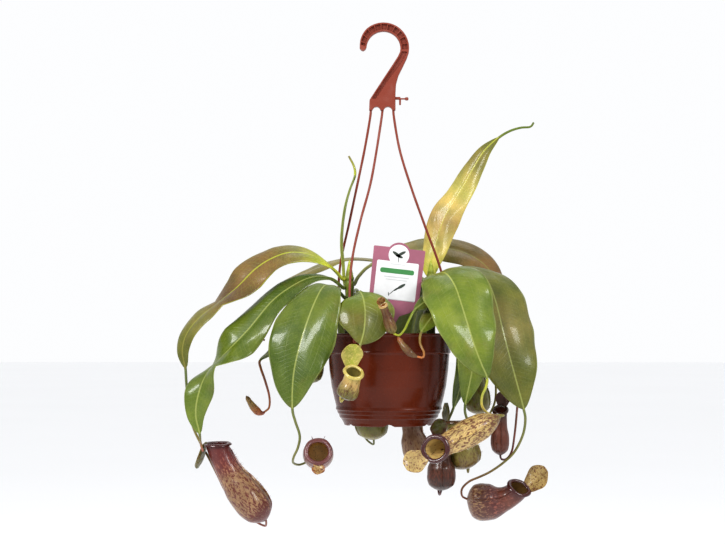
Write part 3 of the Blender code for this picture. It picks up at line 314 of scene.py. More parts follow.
# Each leaf's slot, and the colours from end to end of its blade, its midrib and its tendril. One colour alone
# is even from end to end.
LEAF_LOOKS = {
    "leaf_far_left": ("leaf_bronze", "lime lime khaki bronze bronze brown khaki olive olive",
        "lime lime khaki", "grey_green khaki rose rose"),
    "leaf_left": ("leaf_green", "green deep_green green green fresh", "pale", "grey_green rose"),
    "leaf_back_left": ("leaf_bronze", "grey_green khaki khaki bronze", "pale khaki", "khaki rose"),
    "leaf_front_left": ("leaf_green", "deep_green green green deep_green green", "pale",
        "grey_green khaki"),
    "leaf_front": ("leaf_green", "fresh green fresh olive olive", "pale", "khaki straw"),
    "leaf_tag": ("leaf_green", "green deep_green green", "pale", "fresh lime"),
    "leaf_rim": ("leaf_green", "fresh green fresh", "pale", "khaki orange"),
    "leaf_front_right": ("leaf_green", "fresh green fresh fresh green", "lime pale pale",
        "lime straw khaki"),
    "leaf_right": ("leaf_olive", "fresh olive olive khaki olive olive", "pale",
        "grey_green khaki rose"),
    "leaf_back_right": ("leaf_bronze", "grey_green khaki khaki bronze brown", "pale khaki",
        "khaki rose maroon"),
    "leaf_upright": ("leaf_tan", "lime straw tan straw khaki olive", "lime straw lime", "fresh green"),
    "leaf_spear": ("leaf_green", "lime fresh green fresh", "lime pale", "lime khaki"),
    "leaf_low_right": ("leaf_green", "deep_green green deep_green", "pale", "grey_green rose maroon"),
    "leaf_under_right": ("leaf_olive", "green green fresh green", "pale", "grey_green khaki khaki"),
    "leaf_hidden_left": ("leaf_green", "green deep_green green", "pale", "orange rose orange"),
    "leaf_behind_right": ("leaf_olive", "green olive olive", "pale", "khaki"),
    "leaf_behind": ("leaf_green", "green green deep_green", "pale", "khaki rose"),
    "leaf_behind_left": ("leaf_green", "fresh green deep_green", "pale", "khaki olive"),
    "leaf_far_back": ("leaf_green", "green deep_green green", "pale", "khaki"),
}

# Each pitcher's slot, the colours of its skin and its flecks from foot to mouth, how much the flecks cover,
# and the colours of its lip, its inside and its lid, which has one for its middle, one for its rim and one
# for its flecks.
CUP_LOOKS = {
    "pitcher_large_left": ("pitcher_red", "plum buff buff buff rose plum", "red red red red red red",
        (0.66, 0.52, 0.48, 0.5, 0.6, 0.7), "dark_red", "plum", "olive khaki brown"),
    "pitcher_facing": ("pitcher_red", "plum buff plum buff", "red red red red", (0.6, 0.55, 0.55, 0.5),
        "plum", "sand", "tan orange maroon"),
    "pitcher_yellow_lid": ("pitcher_tan", "olive khaki tan straw", "brown brown bronze bronze",
        (0.5, 0.5, 0.42, 0.3), "straw", "khaki", "lime straw straw"),
    "pitcher_tag": ("pitcher_tan", "khaki bronze brown bronze", "brown red red red",
        (0.3, 0.42, 0.42, 0.35), "tan", "orange", "tan orange red"),
    "pitcher_tan": ("pitcher_tan", "khaki sand sand sand buff", "russet russet russet russet plum",
        (0.56, 0.52, 0.5, 0.5, 0.58), "dark_red", "sand", "sand sand russet"),
    "pitcher_large_right": ("pitcher_red", "buff buff rose rose plum", "plum maroon maroon russet maroon",
        (0.5, 0.6, 0.6, 0.62, 0.62), "dark_red", "bronze", "sand tan russet"),
    "pitcher_narrow": ("pitcher_maroon", "russet russet russet umber", "umber umber umber black",
        (0.45, 0.4, 0.4, 0.5), "umber", "russet", "russet plum umber"),
    "pitcher_dark": ("pitcher_maroon", "umber russet umber grey_plum", "black umber umber russet",
        (0.55, 0.55, 0.5, 0.5), "umber", "russet", "olive plum umber"),
    "pitcher_olive": ("pitcher_olive", "bronze khaki olive khaki", "brown brown bronze brown",
        (0.5, 0.45, 0.4, 0.4), "brown", "khaki", "olive khaki brown"),
    "pitcher_behind_right": ("pitcher_olive", "khaki olive olive khaki", "red brown brown brown",
        (0.45, 0.45, 0.4, 0.4), "maroon", "khaki", "olive khaki brown"),
    "pitcher_grey": ("pitcher_maroon", "grey_plum buff grey_plum grey_plum", "russet russet russet brown",
        (0.45, 0.45, 0.45, 0.4), "umber", "plum", "khaki grey_plum maroon"),
    "pitcher_under": ("pitcher_olive", "khaki olive khaki olive", "brown bronze brown brown",
        (0.45, 0.4, 0.4, 0.4), "brown", "khaki", "olive khaki brown"),
    "pitcher_beside": ("pitcher_olive", "olive khaki khaki khaki", "brown brown brown brown",
        (0.45, 0.4, 0.4, 0.4), "brown", "khaki", "khaki straw brown"),
}

# Each bud's slot and the colours of its skin from foot to tip.
BUD_LOOKS = {"bud_left": ("pitcher_tan", "rose orange tan bronze"),
             "bud_rim": ("pitcher_red", "bronze brown bronze orange")}


def tint_at(names, places, alpha=1.0):
    """The named colours spread evenly from 0 to 1, read at these places, as red, green, blue and alpha."""
    colours = np.array([COLOURS[name] for name in names.split()])
    own = np.linspace(0, 1, len(colours))
    return stacked(*(np.interp(places, own, column) for column in colours.T), alpha)


# ---- Lines and skins ----

def unit(v):
    """The vector, or each vector of a list, at length one."""
    v = np.asarray(v, float)
    return v / np.linalg.norm(v, axis=-1, keepdims=True)


def stacked(*parts):
    """Numbers and arrays spread to one shape, and put side by side along a new last axis."""
    return np.stack(np.broadcast_arrays(*parts), axis=-1)


def circle(count, offset=0.5):
    """Angles evenly spaced round a circle."""
    return 2 * np.pi * (np.arange(count) + offset) / count


def read_at(places, own, values):
    """The rows of values, which stand at their own places, read at other places."""
    return stacked(*(np.interp(places, own, column) for column in np.asarray(values).T))


def run_of(line):
    """How far along the line each of its points lies."""
    return np.concatenate([[0], np.cumsum(np.linalg.norm(np.diff(line, axis=0), axis=1))])


def smooth_line(points, samples=24):
    """A Catmull-Rom curve: each span is the cubic through two points, leaning on the point either side."""
    p = np.asarray(points, float)
    p = np.vstack([2 * p[0] - p[1], p, 2 * p[-1] - p[-2]])
    t = np.linspace(0, 1, samples, endpoint=False)[:, None]
    spans = [0.5 * (2 * b + (c - a) * t + (2 * a - 5 * b + 4 * c - d) * t**2 + (3 * b - a - 3 * c + d) * t**3)
             for a, b, c, d in zip(p, p[1:], p[2:], p[3:])]
    return np.vstack([*spans, p[-2:-1]])


def along(line, places):
    """Points and unit tangents of a line at places from 0 to 1 of its length."""
    own = run_of(line) / run_of(line)[-1]
    return read_at(places, own, line), unit(read_at(places, own, unit(np.gradient(line, axis=0))))


def square_to(tangents, hints):
    """Each hint made square to its tangent, and the sideways direction that goes with it."""
    normals = unit(hints - np.sum(hints * tangents, axis=1, keepdims=True) * tangents)
    return normals, np.cross(tangents, normals)


def carried(tangents, first):
    """A normal carried along a line without twist: at each place the last one, made square to the tangent."""
    normals = []
    for tangent in tangents:
        first = unit(first - np.dot(first, tangent) * tangent)
        normals.append(first)
    normals = np.array(normals)
    return normals, np.cross(tangents, normals)


def leaning(way):
    """A start for sideways directions: straight up, or backwards where the way itself is steep."""
    return np.where(np.abs(way[..., 2:]) < 0.9, (0.0, 0.0, 1.0), (0.0, 1.0, 0.0))


def spokes(ways, angles):
    """Directions at these angles round each way, all square to it."""
    side = unit(np.cross(ways, leaning(ways)))
    other = np.cross(ways, side)
    c, s = np.cos(angles)[:, None], np.sin(angles)[:, None]
    return side[..., None, :] * c + other[..., None, :] * s


def ease(x, low=0.0, high=1.0):
    """A smooth step from 0 at low to 1 at high: three x squared less two x cubed."""
    x = np.clip((np.asarray(x, float) - low) / (high - low), 0, 1)
    return x * x * (3 - 2 * x)


def lumps(x, y, seed, octaves=3):
    """Smooth random hills from about -1 to 1: random heights on a lattice, eased between, in finer layers."""
    total, size, cells = 0.0, 1.0, 64
    for octave in range(octaves):
        heights = np.random.default_rng(seed + octave).uniform(-1, 1, (cells, cells))
        u, v = np.asarray(x, float) * size + 31.7 * octave, np.asarray(y, float) * size + 17.3 * octave
        i, j = np.floor(u).astype(int), np.floor(v).astype(int)
        a, b = ease(u - i), ease(v - j)
        i, j, i2, j2 = i % cells, j % cells, (i + 1) % cells, (j + 1) % cells
        low = heights[i, j] * (1 - a) + heights[i2, j] * a
        high = heights[i, j2] * (1 - a) + heights[i2, j2] * a
        total, size = total + (low * (1 - b) + high * b) / size, size * 2
    return total / 1.6


def softened(points, step, window):
    """A polyline walked in short steps, then averaged over a window, which rounds its corners."""
    points = np.asarray(points, float)
    run = run_of(points)
    dense = read_at(np.linspace(0, run[-1], int(run[-1] / step)), run, points)
    sums = np.cumsum(np.pad(dense, ((window, window), (0, 0)), mode="edge"), axis=0)
    return (sums[2 * window:] - sums[:-2 * window]) / (2 * window)


def two_sided(upper, lower):
    """Rows of a flat skin: across the upper side, then back across the lower one."""
    return np.concatenate([upper, lower[:, ::-1]], axis=1)


def spread(fields, n, m):
    """Each field repeated for n by m points: one number or one list for all, or values that already vary."""
    flat = {}
    for name, values in fields.items():
        values = np.asarray(values, float)
        width = values.shape[2:] if values.ndim > 1 else values.shape
        flat[name] = np.broadcast_to(values, (n, m, *width)).reshape(n * m, -1)
    return flat


def shell(rings, capped=True, slot=0, **fields):
    """A closed skin over rings (n, even m, 3) in millimetres.

    Each end is closed by strips from side to side, or, where it isn't capped, the last ring is joined to the
    first. Fields are values for each point, (n, m) or (n, m, k). The skin is turned so that its faces point
    outwards: the sum over its triangles of a . (b x c) is six times its volume, and is made positive.
    """
    n, m, _ = rings.shape
    i, j = np.arange(n - 1 if capped else n)[:, None] * m, np.arange(m)[None, :]
    k, up = (j + 1) % m, (i + m) % (n * m)
    quads = np.stack([i + j, i + k, up + k, up + j], axis=-1).reshape(-1, 4)
    if capped:
        q = np.arange(m // 2 - 1)
        first = np.stack([q, m - 1 - q, m - 2 - q, q + 1], axis=-1)
        quads = np.concatenate([quads, first, first[:, ::-1] + (n - 1) * m])
    points = rings.reshape(-1, 3)
    a, b, c, d = (points[quads[:, corner]] - points.mean(0) for corner in range(4))
    if np.sum(a * np.cross(b, c)) + np.sum(a * np.cross(c, d)) < 0:
        quads = quads[:, ::-1]
    return {"points": points, "faces": quads, "fields": spread(fields, n, m), "slot": slot}


def scraps(points, faces, slot=0, **fields):
    """Many like closed scraps at once: points (count, p, 3) with the same faces on each."""
    count, p, _ = points.shape
    every = (np.array(faces)[None] + (np.arange(count) * p)[:, None, None]).reshape(-1, len(faces[0]))
    return {"points": points.reshape(-1, 3), "faces": every, "fields": spread(fields, count, p), "slot": slot}


def tube(line, radius, sides=16, **fields):
    """A round tube: at each place of the line, a circle of the radius there, square to it."""
    tangents = unit(np.gradient(line, axis=0))
    normals, across = carried(tangents, leaning(tangents[0]))
    a = circle(sides)[None, :, None]
    radius = np.broadcast_to(radius, len(line))[:, None, None]
    ring = normals[:, None] * np.cos(a) + across[:, None] * np.sin(a)
    return shell(line[:, None] + radius * ring, **fields)


def turned_pin(centre, axis, profile, sides=20):
    """A small turned part: circles about an axis, each at a distance along it and with a radius."""
    ring = spokes(unit(axis), circle(sides))
    return shell(np.array([np.asarray(centre) + unit(axis) * d + ring * r for d, r in profile]))


# A thin three-sided cone with a bend: the corners of its foot, of its middle, and its tip.
CONE_FACES = [(0, 1, 4), (0, 4, 3), (1, 2, 5), (1, 5, 4), (2, 0, 3), (2, 3, 5),
              (3, 4, 6), (4, 5, 6), (5, 3, 6), (0, 2, 1)]


def hair_cones(roots, ways, lengths, radius, tints, slot=0):
    """Fine hairs: each a three-sided cone bent once, from its root along its way."""
    ways = unit(ways)
    ring = spokes(ways, circle(3, 0)) * radius
    reach = ways * lengths[:, None]
    middle, tip = roots + reach * 0.5, roots + reach + (0, 0, 1) * lengths[:, None] * 0.25
    points = np.concatenate([roots[:, None] + ring, middle[:, None] + ring * 0.6, tip[:, None]], axis=1)
    return scraps(points, CONE_FACES, slot, tint=tints)


def make_piece(name, parts, finishes, nodes=(), sharp=None):
    """One mesh object from closed parts, hung from the hook's seat, with its fields, finishes and nodes."""
    starts = np.cumsum([0] + [len(part["points"]) for part in parts])
    points = (np.concatenate([part["points"] for part in parts]) - HOOK_SEAT) * MM
    faces, finish_of = [], []
    for part, start in zip(parts, starts):
        faces += (part["faces"] + start).tolist()
        finish_of += [part["slot"]] * len(part["faces"])
    mesh = bpy.data.meshes.new(name)
    mesh.from_pydata(points, [], faces)
    for finish in finishes:
        mesh.materials.append(finish)
    mesh.polygons.foreach_set("material_index", finish_of)
    mesh.polygons.foreach_set("use_smooth", [True] * len(faces))
    for field in sorted(set().union(*(part["fields"] for part in parts))):
        width = max(part["fields"][field].shape[1] for part in parts if field in part["fields"])
        values = np.concatenate([part["fields"].get(field, np.zeros((len(part["points"]), width)))
                                 for part in parts]).astype(np.float32)
        kind, key = {1: ("FLOAT", "value"), 3: ("FLOAT_VECTOR", "vector"), 4: ("FLOAT_COLOR", "color")}[width]
        mesh.attributes.new(field, kind, "POINT").data.foreach_set(key, values.ravel())
    if sharp is not None:
        mesh.set_sharp_from_angle(angle=math.radians(sharp))
    mesh.update()
    made = bpy.data.objects.new(name, mesh)
    bpy.context.scene.collection.objects.link(made)
    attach(made, "root")
    if nodes:
        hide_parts(*nodes)
    return made


# ---- Finishes ----

class Finish:
    """A node material, built up from named fields, noise and plain sums."""

    def __init__(self, name, roughness, coat=0.0, specular=0.22):
        self.material = bpy.data.materials.new(name)
        self.material.use_nodes = True
        self.tree = self.material.node_tree
        self.shader = self.tree.nodes["Principled BSDF"]
        for socket, value in (("Roughness", roughness), ("Coat Weight", coat), ("Coat Roughness", 0.12),
                              ("Specular IOR Level", specular)):
            self.set(socket, value)
        self.here = self.node("ShaderNodeTexCoord").outputs["Object"]

    def put(self, socket, value):
        """Link the socket to another node's output, or set its constant."""
        if isinstance(value, bpy.types.NodeSocket):
            self.tree.links.new(value, socket)
        else:
            socket.default_value = value

    def set(self, name, value):
        self.put(self.shader.inputs[name], value)

    def node(self, kind, inputs=(), **settings):
        made = self.tree.nodes.new(kind)
        for key, value in settings.items():
            setattr(made, key, value)
        for key, value in dict(inputs).items():
            self.put(made.inputs[key], value)
        return made

    def sum(self, operation, *values):
        return self.node("ShaderNodeMath", enumerate(values), operation=operation).outputs[0]

    def times(self, a, b):
        return self.sum("MULTIPLY", a, b)

    def plus(self, a, b):
        return self.sum("ADD", a, b)

    def step(self, value, low, high, to_low=0.0, to_high=1.0):
        """Smoothly from to_low where the value is low, to to_high where it is high."""
        inputs = {"Value": value, "From Min": low, "From Max": high, "To Min": to_low, "To Max": to_high}
        return self.node("ShaderNodeMapRange", inputs, interpolation_type="SMOOTHSTEP").outputs["Result"]

    def mix(self, share, a, b, blend="MIX"):
        inputs = {0: share, 6: a if isinstance(a, bpy.types.NodeSocket) else (*a, 1),
                  7: b if isinstance(b, bpy.types.NodeSocket) else (*b, 1)}
        return self.node("ShaderNodeMix", inputs, data_type="RGBA", blend_type=blend).outputs[2]

    def shaded(self, tint, by):
        """The tint times one number, or times one each for its red, green and blue."""
        return self.mix(1.0, tint, np.broadcast_to(by, 3), "MULTIPLY")

    def noise(self, scale, detail=3.0, vector=None, distortion=0.0):
        inputs = {"Vector": vector or self.here, "Scale": scale, "Detail": detail, "Distortion": distortion}
        return self.node("ShaderNodeTexNoise", inputs).outputs[0]

    def patches(self, scale, detail, low, high, to_low=0.0, to_high=1.0):
        """Noise through a step: soft-edged patches."""
        return self.step(self.noise(scale, detail), low, high, to_low, to_high)

    def field(self, name, output="Vector"):
        return self.node("ShaderNodeAttribute", attribute_name=name).outputs[output]

    def stretched(self, field, scale):
        """A field's vector, scaled by its own number along each axis."""
        return self.node("ShaderNodeMapping", {"Vector": self.field(field), "Scale": scale}).outputs[0]

    def waxy(self, glow, radii):
        """Light that goes a little way into the skin."""
        self.set("Subsurface Weight", glow)
        self.set("Subsurface Radius", radii)

    def bump(self, height, depth_mm, strength=1.0):
        inputs = {"Height": height, "Distance": depth_mm * MM, "Strength": strength}
        self.set("Normal", self.node("ShaderNodeBump", inputs).outputs["Normal"])


def scaled(colour, factor):
    """A colour made darker or lighter."""
    return tuple(min(1, factor * part) for part in colour)


def plastic_finish(name, colour, roughness, dust):
    """Moulded plastic: faint cloudiness in the colour, fine scuffs in the gloss, and a little pale dust."""
    f = Finish(name, roughness, coat=0.03, specular=0.15)
    cloudy = f.mix(f.patches(35, 4, 0.35, 0.7), scaled(colour, 0.94), colour)
    specks = f.patches(900, 2, 0.62, 0.75)
    film = f.plus(f.times(f.patches(70, 5, 0.45, 0.8), dust), f.times(specks, 0.5 * dust))
    f.set("Base Color", f.mix(film, cloudy, (0.55, 0.45, 0.42)))
    scuffs = f.noise(160, 4, distortion=0.6)
    f.set("Roughness", f.step(scuffs, 0.3, 0.8, roughness - 0.03, roughness + 0.07))
    f.bump(f.plus(f.noise(650, 2), f.times(scuffs, 0.5)), 0.03, 0.5)
    return f.material


def peat_finish(colour):
    """Damp peat with a rough grain: painted shade makes its hollows nearly black, and painted light makes its
    tops lighter and redder.
    """
    f = Finish("peat_grain", 0.9)
    grain = f.noise(420, 5)
    # Painted shade and light: where the grain that also drives the bump is low, the colour falls to 0.4 of the
    # tint, and where it is high, it rises to 2.1 times the tint.
    dark = f.mix(f.step(grain, 0.3, 0.7), scaled(colour, 0.4), scaled(colour, 2.1))
    f.set("Base Color", f.mix(f.patches(60, 3, 0.45, 0.75), dark, (0.09, 0.05, 0.025)))
    f.bump(grain, 0.6)
    return f.material


def tinted_finish(name, roughness, coat, variation, bump_mm, grain):
    """A finish whose colour is the piece's own tint, clouded by noise."""
    f = Finish(name, roughness, coat)
    tint = f.field("tint", "Color")
    cloud = f.patches(grain, 4, 0.3, 0.7)
    f.set("Base Color", f.mix(cloud, f.shaded(tint, 1 - variation), f.shaded(tint, 1 + 0.6 * variation)))
    f.bump(f.noise(grain * 6, 3), bump_mm, 0.7)
    return f.material


def card_finish(colour):
    """Printed card: an even colour with soft clouds and fine pale specks, and a thin shine."""
    f = Finish("card_mauve", 0.42, coat=0.15)
    tone = f.mix(f.patches(45, 3, 0.3, 0.7), scaled(colour, 0.88), scaled(colour, 1.06))
    f.set("Base Color", f.mix(f.patches(1400, 2, 0.68, 0.8, 0.0, 0.2), tone, (0.5, 0.45, 0.48)))
    f.bump(f.noise(800, 2), 0.03, 0.4)
    return f.material


def leaf_finish(name, roughness, coat):
    """A blade: a pale midrib and margin, long nerves beside it, slanting veins, clouds and brown stains.

    The blade field holds the distance across and along in millimetres and the half width there, and
    face is 1 above and -1 below, where the colour is greyer. The veins rise along lines of
    (along - 0.6 |across|).
    """
    f = Finish(name, roughness, coat)
    tint, rib_tint = f.field("tint", "Color"), f.field("rib", "Color")
    parts = f.node("ShaderNodeSeparateXYZ", {0: f.field("blade")}).outputs
    across = f.sum("ABSOLUTE", parts[0])
    share = f.sum("DIVIDE", across, parts[2])
    above = f.step(f.field("face", "Fac"), -0.2, 0.2)

    nerve = f.sum("COSINE", f.times(f.sum("SUBTRACT", share, 0.42), 33.0))
    nerve = f.times(f.step(nerve, 0.86, 1.0), f.times(f.step(share, 0.9, 0.7), f.step(share, 0.3, 0.4)))
    slant = f.plus(f.sum("SUBTRACT", parts[1], f.times(across, 0.6)), f.times(f.noise(55, 2), 9.0))
    vein = f.sum("COSINE", f.times(slant, 1.15))
    vein = f.times(f.step(vein, 0.55, 1.0), f.step(share, 0.97, 0.75))

    cloud = f.patches(48, 4, 0.3, 0.72)
    colour = f.mix(cloud, f.shaded(tint, (0.72, 0.80, 0.72)), f.shaded(tint, (1.20, 1.14, 1.1)))
    for lines, strength in ((f.patches(620, 3, 0.35, 0.75), 0.08), (vein, 0.045), (nerve, 0.09)):
        colour = f.mix(f.times(lines, strength), colour, rib_tint)
    colour = f.mix(f.times(f.patches(26, 5, 0.56, 0.76), 0.38), colour, (0.12, 0.075, 0.02))
    colour = f.mix(above, f.mix(0.35, colour, (0.15, 0.17, 0.06)), colour)
    for lines, strength in ((f.step(share, 0.945, 0.995), 0.5), (f.step(across, 1.15, 0.5), 0.7)):
        colour = f.mix(f.times(lines, strength), colour, rib_tint)
    f.set("Base Color", colour)
    f.set("Roughness", f.patches(90, 3, 0.3, 0.8, roughness - 0.06, roughness + 0.16))
    f.waxy(0.06, (0.004, 0.006, 0.0015))
    ridges = f.plus(f.times(nerve, -0.5), f.times(vein, -0.45))
    f.bump(f.plus(ridges, f.times(f.noise(240, 3), 0.9)), 0.35, 0.6)
    return f.material


def cup_finish(name, roughness, coat):
    """A pitcher's skin: flecks drawn out along it over the tint, thin streaks and fine dots, and a waxy gloss.

    The cup field is the place on the straightened cup, in millimetres, so flecks run round it without a seam.
    The fleck's colour comes with the share of the skin that it covers.
    """
    f = Finish(name, roughness, coat)
    tint, fleck, cover = f.field("tint", "Color"), f.field("fleck", "Color"), f.field("fleck", "Alpha")
    spots = f.noise(1.0, 3, f.stretched("cup", (0.55, 0.55, 0.22)), 0.8)
    spots = f.step(f.plus(spots, f.sum("SUBTRACT", cover, 0.5)), 0.47, 0.58)
    stripes = f.step(f.noise(1.0, 2, f.stretched("cup", (1.1, 1.1, 0.09))), 0.45, 0.62)
    fine = f.step(f.noise(2.4, 3, f.field("cup")), 0.52, 0.66)
    share = f.sum("MAXIMUM", f.times(fine, f.times(cover, 0.55)), f.times(stripes, f.times(cover, 0.5)))
    share = f.sum("MAXIMUM", share, spots)
    base = f.mix(f.patches(70, 3, 0.3, 0.7), f.shaded(tint, 0.78), f.shaded(tint, 1.15))
    f.set("Base Color", f.mix(f.times(share, 0.9), base, fleck))
    f.set("Roughness", f.patches(120, 3, 0.3, 0.8, roughness - 0.08, roughness + 0.12))
    f.waxy(0.08, (0.004, 0.002, 0.001))
    f.bump(f.plus(f.noise(1.5, 2, f.field("cup")), f.times(stripes, 0.5)), 0.25, 0.55)
    return f.material


def lip_finish(name):
    """The hard glossy lip: the tint, with painted shade in the furrows between its ribs and painted light on
    their crests.
    """
    f = Finish(name, 0.16, coat=0.6)
    tint, rib = f.field("tint", "Color"), f.field("ribs", "Fac")
    # Painted shade and light: a darker copy of the tint fills the furrows between the ribs, and a lighter copy
    # covers the crests.
    furrow = f.shaded(tint, (0.42, 0.36, 0.36))
    colour = f.mix(f.step(rib, 0.15, 0.7), furrow, f.shaded(tint, 1.25))
    f.set("Base Color", f.mix(f.patches(160, 3, 0.5, 0.75, 0.0, 0.4), colour, furrow))
    f.bump(f.noise(500, 2), 0.08, 0.5)
    return f.material


# ---- Pot, hanger, soil and label ----

def round_at(radius, angles, height):
    """Points round the upright axis, from radius, angle and height."""
    return stacked(radius * np.cos(angles), radius * np.sin(angles), height)


def pot_profile():
    """The pot's section from the middle of its floor, up the inside, over the rim and down to the foot."""
    rim = POT_RIM_R
    inside = [(0.0, FLOOR_Z), (49.5, FLOOR_Z), (57.6, 21.0), (63.4, 44), (65.8, 62), (68.2, 82),
              (rim - POT_WALL - 0.6, POT_HEIGHT)]
    ridges = []
    for z in RIDGE_HEIGHTS:
        r = 50.5 + 0.48 * z
        ridges += [(r + 1.0, z), (r + 0.9, z - 0.8), (r - 0.4, z - 1.5)]
    outside = [(rim - 0.6, POT_HEIGHT), (rim, POT_HEIGHT - 1), (rim - 0.1, 101.6), (rim - 0.8, 101.0),
               (rim - 0.9, 84.0), (rim - 0.3, 83.4), (rim - 0.5, 82.2), (rim - 1.9, 81), (67.6, 62),
               (65.2, 44), (61.8, 29), (59.8, 21.5), *ridges, (51.6, 3.0), (50.6, 0.0)]
    foot = [(47.6, 0.0), (48.2, 3.2), (40.0, 3.6), (0.0, 3.6)]
    return softened([*inside, *outside, *foot], 0.7, 1)


def make_pot(size, finish):
    """A surface of revolution, radius and height from the section, with the foot raised over its notches.

    The section's ends lie on the axis, and are left out, so that strips close the two small rings there.
    The drain holes are cut through the floor by round pins.
    """
    r, z = pot_profile().T[..., None]
    turn = circle(int(size.pot_sides), 0)
    rings = round_at(r, turn, z)
    gap = 2 * np.pi / NOTCHES
    away = FOOT_R * (turn % gap - gap / 2)
    roof = np.minimum(np.sqrt(np.maximum(NOTCH_R**2 - away**2, 0)) - NOTCH_DROP, NOTCH_TOP)
    height = rings[..., 2]
    at_foot = (r > FOOT_RING_IN) & (height < FOOT_RING_TOP)
    rings[..., 2] = np.where(at_foot, np.maximum(height, roof), height)
    pot = make_piece("pot_body", [shell(rings[1:-1])], [finish], ["pot"], sharp=50)
    holes = [turned_pin(centre, UP, [(-5, DRAIN_R), (5, DRAIN_R)], 24)
             for centre in round_at(DRAIN_CIRCLE_R, circle(DRAIN_HOLES, 0), FLOOR_Z)]
    cutter = make_piece("drain_cutter", holes, [finish])
    cut = pot.modifiers.new("Drain holes", "BOOLEAN")
    cut.object, cut.solver, cut.operation = cutter, "EXACT", "DIFFERENCE"
    bpy.context.view_layer.update()
    graph = bpy.context.evaluated_depsgraph_get()
    mesh = bpy.data.meshes.new_from_object(pot.evaluated_get(graph), depsgraph=graph)
    pot.modifiers.clear()
    pot.data = mesh
    bpy.data.objects.remove(cutter)


def hook_edge(bend, shank, u, share=0.62):
    """A softened edge of the hook at places u from 0 to 1, of which the bend takes the first share."""
    bend, shank = softened(bend, 0.4, 3), softened([bend[-1], *shank], 0.4, 3)
    return np.where(u[:, None] < share, read_at(u / share, np.linspace(0, 1, len(bend)), bend),
                    read_at((u - share) / (1 - share), np.linspace(0, 1, len(shank)), shank))


def hook_part():
    """The moulded hook: a flat bar ruled between its outer and inner edge, with a channel sunk in both faces.

    The channel's floor is the product of smooth steps across the bar and along it, with ribs left standing
    round the bend, and the bar's edges are rounded off by a quarter circle.
    """
    turn = np.radians(np.linspace(170, -10, 19))
    outer = HOOK_CENTRE + HOOK_OUTER_R * stacked(np.cos(turn), np.sin(turn))
    outer[:4] += (HOOK_CENTRE - outer[:4]) * np.array([[2.0], [1.4], [0.9], [0.4]]) / HOOK_OUTER_R
    turn = np.radians(np.linspace(178, -12, 17))
    inner = HOOK_CENTRE + HOOK_INNER_R * stacked(np.cos(turn), np.sin(turn))
    u, v = np.linspace(0, 1, HOOK_ROWS)[:, None], np.linspace(0, 1, HOOK_COLUMNS)
    # Both edges reach the bend's end at the same place, so that its ribs stand square across the bar.
    outer = hook_edge([(-33.2, 430.0), *outer],
                      [(20.5, 418), (16.2, 409), (11.2, 399), (8.4, 389), (7.8, 378), (7.8, 359)], u[:, 0])
    inner = hook_edge([(-26.4, 429.4), *inner],
                      [(10.6, 421), (4.6, 411.5), (-7.0, 394), (-21.9, 371), (-22.4, 359)], u[:, 0])
    face = outer[:, None] * (1 - v)[None, :, None] + inner[:, None] * v[None, :, None]
    x, z = face[..., 0], face[..., 1]
    z = z - 2.4 * np.sin(np.pi * v) * (1 - ease(u, 0, 0.025))
    arch = sum(np.sqrt(np.maximum(1 - ((x - middle) / half) ** 2, 0))
               for middle, half in ((-0.9, 4.7), (-14, 4.4)))
    z = z + 4.0 * arch * ease(u, 0.93, 1.0)

    # The channel lies between a low and a high share of the width, and moves over along the shank.
    shank = ease(u, 0.6, 0.97)
    low, high = 0.17 + (0.80 - 0.17) * shank**0.8, 0.83 + (0.94 - 0.83) * shank
    width = np.linalg.norm(outer - inner, axis=1)[:, None]
    soft = 0.45 / width
    across = ease((v - low) / soft) * ease((high - v) / soft)
    from_rib = np.abs(((u / 0.60 * CROSS_RIBS + 0.5) % 1) - 0.5) / CROSS_RIBS * 0.60
    cells = np.where(u < 0.60, ease(from_rib, 0.0035, 0.0065), ease(u, 0.615, 0.622))
    ends = ease(u, 0.028, 0.033) * (1 - ease(u, 0.925, 0.935))
    sunk = CHANNEL_DEPTH * across * (cells * ends)
    from_edge = np.minimum(v, 1 - v) * width
    in_edge = np.maximum(HOOK_EDGE_R - from_edge, 0)
    rounding = HOOK_EDGE_R - np.sqrt(np.maximum(HOOK_EDGE_R**2 - in_edge**2, 0))
    half = HOOK_DEPTH / 2 - rounding - sunk
    return shell(two_sided(stacked(x, -half, z), stacked(x, half, z)))


# The line of each leg from the hook down, in the order of the clips.
LEGS = (
    ((5.8, 0, 362), (5.9, 0, 352), (12.8, 1, 313), (26, 2, 270), (41, 4, 228), (58.8, 6, 179),
     (69.5, 7.4, 135)),
    ((-20.4, 0, 362), (-21.4, 0, 350), (-27.6, 4, 315), (-35.5, 12, 278), (-46, 22, 230), (-56, 34, 186),
     (-58.5, 44, 150), (-55.4, 52, 120)),
    ((-7.6, 0, 362), (-8.2, -1, 350), (-19.6, -8, 280), (-32, -22, 231), (-41, -38, 187), (-43.6, -52, 146),
     (-41.2, -61, 118)),
)


